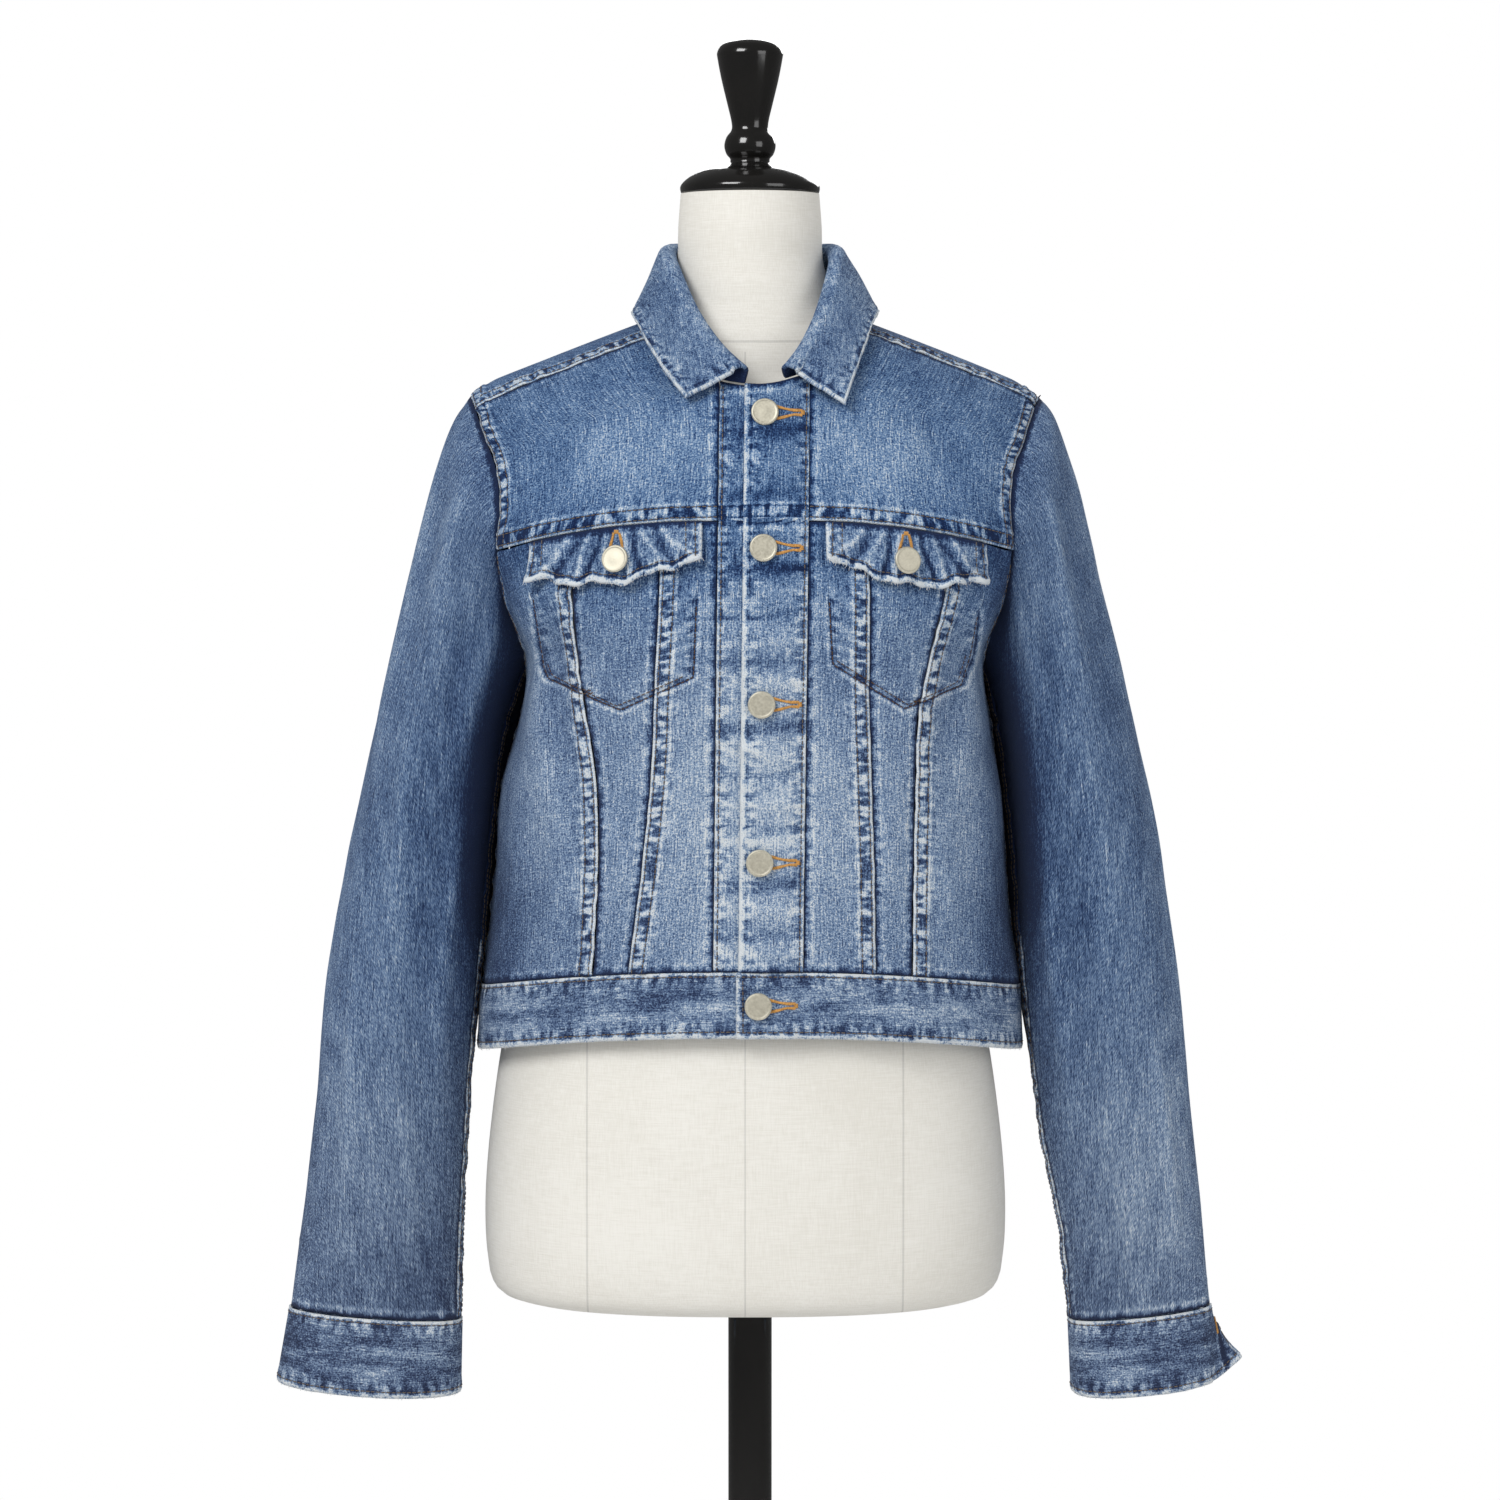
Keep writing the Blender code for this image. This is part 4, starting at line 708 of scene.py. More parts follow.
def bodyFadeAndShade(s):
    x, y, z = s.base[..., 0], s.base[..., 1], s.base[..., 2]
    fade = np.zeros_like(x)
    faces = np.where(y < 0, 1.0, 0.9)
    for cx, cz, wx, wz, amount in (
        (-0.070, 1.280, 0.050, 0.032, 0.27), (0.074, 1.276, 0.050, 0.032, 0.27),
        (0.0, 1.05, 0.10, 0.12, 0.48), (-0.112, 1.04, 0.036, 0.10, -0.02), (0.116, 1.04, 0.036, 0.10, 0.12),
    ):
        fade = fade + faces * amount * bell(x - cx, wx) * bell(z - cz, wz)
    # painted shade: darker towards the sides, where the body turns away from the light
    fade = fade - 0.34 * ease(np.abs(x), 0.132, 0.160) * (1 - ease(z, 1.20, 1.26))
    # painted shadow in a band just under the yoke seams
    fade = fade - 0.12 * bell(z - 1.215, 0.02) * (z < 1.235)
    fade = fade - 0.10 * ease(z, 1.31, 1.35)
    s.grey = mix(0.30, -0.35, ease(z, 1.12, 1.24))
    # painted highlight on the crease ridges and painted shade in their troughs, following the body's relief
    s.fade = s.fade + fade + 48 * bodyLift(s.base)


def makeFrontYokes():
    for side in (1, -1):
        name = "front_yoke_" + sideNames[side]
        edges = rims("tuck", "fell", "fell", "tuck")
        s = makeSheet(name, frontYokeSurface(side), side, edges, cloth["denim"], bodySheetLift, marks=bodyFadeAndShade)
        sewEdges(s, "body", *twin("v0"), *twin("u1", 0, 0.975, 0, 0.96))


def seamTurn(side, column):
    def at(z):
        return turnOf(readTable(frontSeams, z, sideNames[side] + column) - lean(z), z)
    return at


def shifted(turn, by):
    return lambda z: turn(z) + by / readTable(bodySections, z, "front")


def uprightPanel(start, end, low, high):
    def surface(u, v):
        z = mix(low(u), high(u), v)
        return around(mix(start(z), end(z), u), z)
    return surface


def frontLow(start, end):
    return lambda u: bandTop(mix(start(readAt["frontLow"]), end(readAt["frontLow"]), u)) + cloth["lap"]


def frontHigh(start, end):
    def high(u):
        z = readAt["front"]
        turn = mix(start(z), end(z), u)
        x = around(turn, z + 0 * turn)[..., 0] - lean(z)
        return yokeFrontZ(x) - cloth["seamGap"] / 2
    return high


def armholeCorner(start, end, yokeZ):
    z = yokeZ(armholeX(readAt["corner"]))
    return float((turnOf(armholeX(z), z) - abs(start(z))) / (abs(end(z)) - abs(start(z))))


def sideHigh(start, end, yokeZ, corner):
    cornerZ = yokeZ(armholeX(readAt["corner"]))

    def frontTurn(u, z):
        turn = np.abs(mix(start(z), end(z), u))
        return np.minimum(turn, math.pi - turn)

    def high(u):
        z = readAt["side"]
        x = around(frontTurn(u, z + 0 * u), z + 0 * u)[..., 0] - lean(z)
        share = np.clip(u / corner, 0, 1)
        under = mix(yokeZ(x), cornerZ, share**4)
        bottom, top = np.full_like(u, body["armpitZ"]), np.full_like(u, cornerZ + 0.002)
        for _ in range(30):
            z = (bottom + top) / 2
            inside = turnOf(armholeX(z), z) > frontTurn(u, z)
            bottom, top = np.where(inside, z, bottom), np.where(inside, top, z)
        return np.where(u <= corner, under, bottom) - cloth["seamGap"]

    return high


def makeLowerFronts():
    gap = cloth["seamGap"] / 2
    for side in (1, -1):
        edge = shifted(lambda z: turnOf(frontEdge(side, z), z), side * gap)
        seamA, seamB = seamTurn(side, "_a"), seamTurn(side, "_b")
        beforeA = shifted(seamA, -side * gap)
        centre = uprightPanel(edge, beforeA, frontLow(edge, beforeA), frontHigh(edge, beforeA))
        name = "front_centre_" + sideNames[side]
        edges = rims("tuck", "fell", "tuck", "tuck")
        s = makeSheet(name, centre, side, edges, cloth["denim"], panelLift, marks=panelMarks)
        sewEdges(s, "body", *twin("u1"))

        start, end = shifted(seamA, side * gap), shifted(seamB, -side * gap)
        middle = uprightPanel(start, end, frontLow(start, end), frontHigh(start, end))
        name = "front_middle_" + sideNames[side]
        edges = rims("tuck", "tuck", "tuck", "tuck")
        makeSheet(
            name, middle, side, edges, cloth["denim"],
            lambda s: panelLift(s) - cloth["fellRise"] * bell(np.minimum(s.far["u0"], s.far["u1"]), 0.004),
            marks=panelMarks,
        )

        afterB = shifted(seamB, side * gap)

        def sideSeam(z):
            return side * (math.pi / 2 - gap / readTable(bodySections, z, "front"))

        corner = armholeCorner(afterB, sideSeam, yokeFrontZ)
        low = frontLow(afterB, sideSeam)
        panel = uprightPanel(afterB, sideSeam, low, sideHigh(afterB, sideSeam, yokeFrontZ, corner))
        name = "front_side_" + sideNames[side]
        edges = rims("fell", "fell", "tuck", "fell")

        def gate(s, edge):
            if edge == "v1":
                return ease(s.u, corner - 0.01, corner + 0.01)
            if edge == "u1":
                return 0.9
            return 1.0

        s = makeSheet(name, panel, side, edges, cloth["denim"], panelLift, extra=gate, marks=panelMarks)
        sewEdges(s, "body", *twin("u0"), *twin("u1"), *twin("v1", corner, 1, corner + 0.02))


back = {
    "corners": (0.30, 0.70), "seamPlace": 0.04, "armLength": 0.130, "neckLength": 0.250,
    "seamLow": 0.062, "seamHigh": 0.100, "planeRadius": 0.10,
}


def backYokeSurface():
    cornerZ = float(yokeBackZ(armholeX(body["yokeBackZ"])) + cloth["seamGap"] / 2)
    neckEnd = {side: math.acos(body["seamAngle"][side] / body["neckFront"]) for side in (1, -1)}
    tips = {side: seamTip(side) for side in (1, -1)}
    low, high = back["corners"]
    place = back["seamPlace"]
    strip = cloth["fellWidth"]

    def armhole(side, share):
        tipX, tipAngle = tips[side]
        turn = mix(-armTurn(ridge(tipX) - dropOf(tipAngle)), armTurn(cornerZ), share)
        x = armholeX(armTurnZ(turn))
        return pair(side * x, np.copysign(angleOf(ridge(x) - armTurnZ(turn)), turn))

    def outer(u):
        first = strip / back["armLength"]
        right = armhole(-1, np.interp(u, (0, place, low), (0, first, 1)))
        left = armhole(1, np.interp(1 - u, (0, place, 1 - high), (0, first, 1)))
        x = armholeX(cornerZ) * mix(-1, 1, np.clip((u - low) / (high - low), 0, 1))
        bottom = pair(x, angleOf(ridge(x) - yokeBackZ(x) - cloth["seamGap"] / 2))
        return np.where((u < low)[..., None], right, np.where((u > high)[..., None], left, bottom))

    def neckline(u):
        first = strip / back["neckLength"]
        share = np.interp(u, (0, place, 1 - place, 1), (0, first, 1 - first, 1))
        turn = mix(-neckEnd[-1], neckEnd[1] - tau, share)
        cosine = np.cos(turn)
        depth = np.where(cosine > 0, body["neckFront"], body["neckBack"])
        return pair(body["neckHalf"] * np.sin(turn), -cosine * depth)

    def surface(u, v):
        start, end = outer(u), neckline(u)
        point = mix(start, end, v[..., None])
        return overShoulder(point[..., 0], point[..., 1])

    return surface


def makeBack():
    edges = rims("fell", "fell", "fell", "tuck")
    s = makeSheet("back_yoke", backYokeSurface(), -1, edges, cloth["denim"], bodySheetLift,
                  marks=bodyFadeAndShade, coarse=0.0030)
    place = back["seamPlace"]
    sewEdges(s, "back", *twin("u0", farLow=place), *twin("u1", farLow=place),
             *twin("v0", 0, 1, place, 1 - place))
    gap = cloth["seamGap"] / 2

    def backTurn(side, by):
        def at(z):
            x = mix(back["seamLow"], back["seamHigh"], (z - 0.94) / 0.295)
            return side * (math.pi - turnOf(x + by, z))
        return at

    def across(z):
        return backTurn(1, -gap)(z), tau + backTurn(-1, -gap)(z)

    def centre(u, v):
        low = body["hemZ"] + body["bandHeight"] + cloth["lap"]
        z0 = body["yokeBackZ"] + 0 * u
        start, end = across(z0)
        x = around(mix(start, end, u), z0)[..., 0] - lean(z0)
        z = mix(low, yokeBackZ(x) - cloth["seamGap"], v)
        start, end = across(z)
        return around(mix(start, end, u), z)

    edges = rims("fell", "fell", "tuck", "tuck")
    s = makeSheet("back_centre", centre, 1, edges, cloth["denim"], bodySheetLift, marks=bodyFadeAndShade)
    sewEdges(s, "back", *twin("u0"), *twin("u1"))

    for side in (1, -1):
        start = backTurn(side, gap)

        def end(z):
            return side * (math.pi / 2 + gap / readTable(bodySections, z, "back"))

        def seen(z):
            return side * (math.pi - abs(start(z)))

        def middle(z):
            return side * math.pi / 2 + 0 * np.asarray(z)

        corner = armholeCorner(seen, middle, yokeBackZ)
        high = sideHigh(seen, middle, yokeBackZ, corner)

        def low(u):
            return bandTop(mix(start(readAt["backLow"]), end(readAt["backLow"]), u)) + cloth["lap"]

        def surface(u, v):
            z = mix(low(u), high(u), v)
            return around(mix(start(z), end(z), u), z)

        def gate(s, edge):
            if edge == "v1":
                return ease(s.u, corner - 0.01, corner + 0.01)
            return 1.0

        name = "back_side_" + sideNames[side]
        edges = rims("tuck", "tuck", "tuck", "fell")
        s = makeSheet(name, surface, -side, edges, cloth["denim"], bodySheetLift, extra=gate, marks=bodyFadeAndShade)
        sewEdges(s, "back", *twin("v1", corner, 1, corner + 0.02))


def placketSurface(fold, sewn):
    def surface(u, v):
        topX = centreX(readAt["collar"]) + mix(fold, sewn, u)
        top = ridge(topX) - dropOf(neckAngle(topX))
        low = bandTop(0.0) + cloth["lap"]
        z = mix(low, top, v)
        return torso(centreX(z) + mix(fold, sewn, u), z, -1)
    return surface


placketWrinkles = {
    "columns": ("z", "tilt", "width", "height"),
    "rows": (
        (1.286, 0.10, 0.0030, -0.0010), (1.268, -0.14, 0.0042, 0.0012), (1.252, 0.06, 0.0036, -0.0012),
        (1.241, -0.05, 0.0030, 0.0010), (1.205, 0.10, 0.0034, -0.0012), (1.192, -0.08, 0.0044, 0.0013),
        (1.178, 0.12, 0.0032, -0.0010), (1.163, -0.04, 0.0046, 0.0012), (1.149, 0.09, 0.0034, -0.0011),
        (1.139, -0.10, 0.0030, 0.0009), (1.108, 0.06, 0.0036, -0.0012), (1.093, -0.12, 0.0044, 0.0013),
        (1.079, 0.05, 0.0034, -0.0010), (1.062, 0.10, 0.0046, 0.0012), (1.047, -0.07, 0.0032, -0.0011),
        (1.010, 0.08, 0.0036, -0.0012), (0.996, -0.10, 0.0044, 0.0012), (0.981, 0.06, 0.0034, -0.0010),
        (0.969, -0.05, 0.0030, 0.0009),
    ),
}


def placketLift(s):
    z, across = s.base[..., 2], s.across - s.across[-1:, :] / 2
    height = mix(lapRise, cloth["fellRise"], ease(s.u, 0.66, 1.0))
    for at, tilt, width, depth in placketWrinkles["rows"]:
        share = 0.55 + 0.45 * np.cos(across * 90 + at * 70)
        height = height + depth * bell(z - at - tilt * across, width) * share
    return height + bodyLift(s.base) * 0.5 + crossSeamLift(s)


def crossSeamLift(s):
    above = s.base[..., 2] - body["yokeFrontZ"]
    step = 0.0006 * ease(above, 0, 0.0006) * (1 - ease(above, 0.0100, 0.0125))
    return step - 0.0005 * bell(above + 0.0008, 0.0009)


def placketMarks(s):
    bodyFadeAndShade(s)
    above = s.base[..., 2] - body["yokeFrontZ"]
    s.fell = np.minimum(s.fell, np.where(above > -0.0004, np.abs(above), away))
    s.tuck = np.minimum(s.tuck, np.where(above < 0.0004, np.abs(above), away))
    s.sideways = np.maximum(s.sideways, ease(0.014 - np.abs(above - 0.005), 0, 0.004))
    below = ease(-above, 0, 0.004)
    atLeast(s, crumple=mix(0.10, 0.20, below))
    s.fade = s.fade + mix(-0.12, 0.06, below)
    # painted highlight above each button and painted shadow below it
    for z in front["buttonHeights"]:
        reach = ease(s.u, 0.05, 0.4)
        pale = 0.28 * bell(s.base[..., 2] - z - 0.0125, 0.004)
        dark = 0.42 * bell(s.base[..., 2] - z + 0.0115, 0.004)
        s.fade = s.fade + (pale - dark) * reach
    # painted highlight on the wrinkle ridges and painted shade in their troughs
    for at, tilt, width, depth in placketWrinkles["rows"]:
        slant = tilt * (s.across - s.across[-1:, :] / 2)
        off = bell(s.base[..., 2] - at - slant, width * 0.9) * mix(0.5, 1.0, below)
        s.fade = s.fade + (0.15 if depth > 0 else -0.30) * off


def makePlackets():
    gap = cloth["seamGap"] / 2
    edges = rims("fold", "sewn", "tuck", "tuck")
    upper = placketSurface(front["upperFold"], front["upperSewn"] - gap)
    s = makeSheet("placket_upper", upper, 1, edges, cloth["band"], placketLift,
                  marks=placketMarks, coarse=0.0024)
    sewEdges(s, "body", ("u1", seamLines["near"], 0, 1))
    under = placketSurface(front["underSewn"] + gap, front["underFold"])
    edges = rims("sewn", "plain", "tuck", "tuck")
    s = makeSheet("placket_under", under, 1, edges, cloth["denim"],
                  lambda s: bodyLift(s.base) * 0.5 + crossSeamLift(s), marks=placketMarks)
    sewEdges(s, "body", ("u0", seamLines["near"], 0, 1))


def flapSurface(side):
    def surface(u, v):
        x = front["flapInner"][side] + front["flapWidth"][side] * u - side * lean(readAt["flap"])
        drop = mix(front["flapPointDrop"], front["flapSideDrop"], np.abs(2 * u - 1) ** 1.5)
        drop = drop + 0.0016 * np.sin(u * 20 + side) * (1 - np.abs(2 * u - 1) ** 3) + 0.0007 * np.sin(u * 47)
        z = yokeFrontZ(x) - 2 * cloth["seamGap"] - v * drop
        return torso(side * x, z, -1)
    return surface


# upright folds across a flap: place, width as a share of it, and height
flapFolds = (
    (0.10, 0.030, 0.0016), (0.19, 0.026, -0.0016), (0.27, 0.022, 0.0013), (0.36, 0.020, -0.0018), (0.43, 0.020, 0.0015),
    (0.57, 0.020, 0.0014), (0.64, 0.020, -0.0018), (0.71, 0.022, 0.0014), (0.81, 0.028, -0.0015), (0.90, 0.030, 0.0015),
)


def fanned(s, at):
    return s.u - 0.5 - (at - 0.5) * (0.62 + 0.55 * s.v) + 0.012 * np.sin(s.v * 5 + at * 40)


def makeFlaps():
    for side in (1, -1):
        def lift(s):
            wave = np.sin(s.u * (17 if side > 0 else 21) + side) * 0.55 + np.sin(s.u * 39 + 1.3) * 0.45
            height = front["flapRise"] + front["flapCurl"] * s.v**2 * (0.85 + 0.15 * wave)
            height = height + 0.0021 * wave * s.v**1.3 + 0.0012 * bell(s.far["v1"] - 0.0012, 0.0018)
            for at, width, depth in flapFolds:
                slant = fanned(s, at)
                height = height + 1.25 * depth * bell(slant, width) * (0.3 + 0.7 * s.v)
            return height

        def marks(s):
            ragged = 0.0030 + 0.0009 * patches(s, 200, 0, 4.0)
            atLeast(s, wear=1.15 * (1 - ease(s.far["v1"] - ragged, -0.0006, 0.0010)))
            # painted shade in a thin line just inside the worn edge
            atLeast(s, deep=0.55 * bell(s.far["v1"] - ragged - 0.0016, 0.0009))
            # painted shadow along the top of the flap, under the yoke edge
            s.fade = s.fade + 0.06 - 0.30 * bell(s.far["v0"], 0.005)
            # painted highlight on the fold ridges and painted shade in their troughs
            for at, width, depth in flapFolds:
                slant = fanned(s, at)
                s.fade = s.fade + 480 * depth * bell(slant, width * 0.75) * (0.55 + 0.45 * s.v)
            atLeast(s, crumple=0.30)

        name = "pocket_flap_" + sideNames[side]
        edges = rims("fold", "fold", "tuck", "fold")
        s = makeSheet(name, flapSurface(side), -side, edges, cloth["band"], lift, marks=marks, coarse=0.0012)
        fold, deep = seamLines["fold"], seamLines["flapInner"]
        sewEdges(s, "body", ("v1", seamLines["flapEdge"], 0.02, 0.98),
                 ("u0", fold, 0, 0.90), ("u1", fold, 0, 0.90),
                 ("u0", deep, 0, 0.80), ("u1", deep, 0, 0.80))


def makeWaistband():
    zMiddle = body["hemZ"] + body["hemRise"] + body["bandHeight"] / 2
    overEnd = float(turnOf(centreX(zMiddle) + front["upperFold"] - 0.001, zMiddle))
    overClear = float(turnOf(centreX(zMiddle) + front["upperSewn"], zMiddle))
    underEnd = tau + float(turnOf(centreX(zMiddle) + front["underFold"], zMiddle))
    underStart = tau + float(turnOf(centreX(zMiddle) + front["underSewn"], zMiddle))
    length = underEnd - overEnd
    flatEnd = (overClear - overEnd) / length
    underFrom = (underStart - overEnd) / length

    def surface(u, v):
        turn = mix(overEnd, underEnd, u)
        return around(turn, mix(hemZ(turn), bandTop(turn), v))

    def lift(s):
        over = mix(lapRise, cloth["fellRise"], ease(s.u, 0.72 * flatEnd, flatEnd))
        under = mix(cloth["fellRise"], 0.0, ease(s.u, underFrom - 0.03, underFrom))
        height = np.where(s.u < 0.5, over, under)
        wave = patches(s, 26, 8, 2.0)
        return height + 0.0011 * wave + bodyLift(s.base) * 0.4

    def marks(s):
        levelPatch, upright = bandPatches(s, 8.0, 3.0)
        nearEdge = np.maximum(bell(s.far["v1"], 0.012), 0.8 * bell(s.far["v0"], 0.010))
        s.fade = s.fade + 0.10 + 0.40 * levelPatch * (1 - nearEdge)
        s.fade = s.fade + 0.46 * upright * nearEdge - 0.14 * nearEdge
        atLeast(s, wear=np.maximum(bell(s.far["v0"], 0.0020), 1.1 * bell(s.far["v1"] - 0.0003, 0.0012)))
        atLeast(s, crumple=0.26)
        s.grey = 0.42 + 0 * s.u

    edges = rims("fold", "plain", "fold", "sewn")
    s = makeSheet("waistband", surface, 1, edges, cloth["band"], lift, marks=marks, coarse=0.0020)
    fold = seamLines["fold"]
    sewEdges(s, "body", ("v0", fold, 0, 1), ("v1", seamLines["band"], 0, 1), ("u0", fold, 0.08, 0.94))


sleeveRows = {
    -1: (
        (0, 0.1395, 1.1500, 0.1770, 1.3135, 0.0720, 0.000), (1, 0.1440, 1.1400, 0.1890, 1.2985, 0.0715, 0.000),
        (2, 0.1490, 1.1270, 0.1995, 1.2680, 0.0700, 0.000), (3, 0.1545, 1.1100, 0.2110, 1.2220, 0.0675, 0.000),
        (4, 0.1590, 1.0900, 0.2240, 1.1700, 0.0650, 0.000), (5, 0.1625, 1.0620, 0.2375, 1.1080, 0.0625, -0.001),
        (6, 0.1665, 1.0220, 0.2495, 1.0480, 0.0590, -0.003), (7, 0.1712, 0.9650, 0.2610, 0.9850, 0.0545, -0.006),
        (8, 0.1765, 0.9050, 0.2715, 0.9210, 0.0485, -0.009), (9, 0.1805, 0.8450, 0.2790, 0.8580, 0.0415, -0.012),
        (10, 0.1840, 0.7850, 0.2860, 0.7960, 0.0340, -0.014), (11, 0.1850, 0.7245, 0.2945, 0.7325, 0.0285, -0.015),
    ),
    1: (
        (0, 0.1455, 1.1500, 0.1830, 1.3135, 0.0720, 0.000), (1, 0.1490, 1.1400, 0.1945, 1.2985, 0.0715, 0.000),
        (2, 0.1530, 1.1270, 0.2040, 1.2680, 0.0700, 0.000), (3, 0.1570, 1.1100, 0.2150, 1.2220, 0.0675, 0.000),
        (4, 0.1600, 1.0900, 0.2280, 1.1700, 0.0650, 0.000), (5, 0.1635, 1.0620, 0.2430, 1.1080, 0.0625, -0.001),
        (6, 0.1680, 1.0220, 0.2555, 1.0480, 0.0590, -0.003), (7, 0.1720, 0.9650, 0.2655, 0.9850, 0.0545, -0.006),
        (8, 0.1775, 0.9050, 0.2738, 0.9210, 0.0485, -0.009), (9, 0.1855, 0.8450, 0.2815, 0.8580, 0.0415, -0.012),
        (10, 0.1975, 0.7850, 0.2888, 0.7960, 0.0340, -0.014), (11, 0.2040, 0.7245, 0.2950, 0.7340, 0.0285, -0.015),
    ),
}
sleeveTables = {
    side: {"columns": ("number", "innerX", "innerZ", "outerX", "outerZ", "depth", "y"), "rows": rows}
    for side, rows in sleeveRows.items()
}
sleeveSize = {
    "square": 2.2, "start": 0.02, "end": 10.995,
    "frontSeam": (170.0, 163.0), "backSeam": (-70.0, -25.0), "gap": 0.001,
    "bulge": 0.0140, "bulgeAngle": -150.0, "bulgeWidth": 22.0,
    "cuffHeight": 0.0470, "cuffSlant": {1: (0.0022, 0.0045), -1: (0.0012, 0.0085)},
    "cuffRise": 0.0008, "cuffDip": 0.0030, "cuffSlit": 5.0,
    "flare": (0.0190, -0.0140, 0.0150), "flareFrom": 20.0, "buttonAngle": -48.0,
}


def power(value, square):
    return np.copysign(np.abs(value) ** (2 / square), value)


def sleeveSection(side, number):
    table = sleeveTables[side]
    get = {c: readTable(table, number, c) for c in table["columns"][1:]}
    zero = 0 * get["depth"]
    inner = np.stack([side * get["innerX"], zero, get["innerZ"]], -1)
    outer = np.stack([side * get["outerX"], zero, get["outerZ"]], -1)
    return inner, outer, get["depth"], get["y"]


def ringPoint(section, angle):
    inner, outer, depth, y = section
    centre, reach = (inner + outer) / 2, (outer - inner) / 2
    point = centre + reach * power(np.cos(angle), sleeveSize["square"])[..., None]
    point[..., 1] = y - depth * power(np.sin(angle), sleeveSize["square"])
    return point


def armholePoint(side, angle):
    z = armTurnZ(angle)
    return torso(side * armholeX(z), z, np.where(np.sin(angle) > 0, -1, 1))


def sleevePoint(side, number, angle):
    point = ringPoint(sleeveSection(side, number), angle)
    seam = armholePoint(side, angle) - ringPoint(sleeveSection(side, 0 * number), angle)
    share = np.where(number < 2, (1 - np.minimum(number, 2) / 2) ** 2, 0)
    return point + seam * share[..., None]


def sleeveLift(side, number, angle, points):
    degrees = np.degrees(angle)
    degrees = np.where(degrees > 180, degrees - 360, degrees)
    lift = 0.0011 * field(points, 15.0, 3.0) + 0.0005 * field(points, 36.0, 7.0)
    for row in sleeveCreases["rows"]:
        if row[0] == side:
            inMetres = row[:5] + (row[5] / 1000,) + row[6:]
            lift = lift + crease(number, degrees, inMetres, 0.055, 0.0012)
    inner = ease(np.abs(degrees), 150, 172)
    lift = mix(lift, np.minimum(lift, 0) * 0.5, inner)
    return lift * ease(number, 0.0, 0.6) * (1 - 0.7 * ease(number, 10.4, 11))


def treeOf(names):
    vertices, faces, start = [], [], 0
    for name in names:
        mesh = sheets[name].object.data
        vertices += [v.co.copy() for v in mesh.vertices]
        faces += [tuple(i + start for i in p.vertices) for p in mesh.polygons]
        start = len(vertices)
    return BVHTree.FromPolygons(vertices, faces)


def roomBeside(s, tree, where):
    room = np.ones_like(s.u)
    for i, j in np.argwhere(where):
        hit, _, _, distance = tree.ray_cast(Vector(s.base[i, j]), Vector(s.normal[i, j]), 0.04)
        if hit is not None:
            room[i, j] = distance
    return room


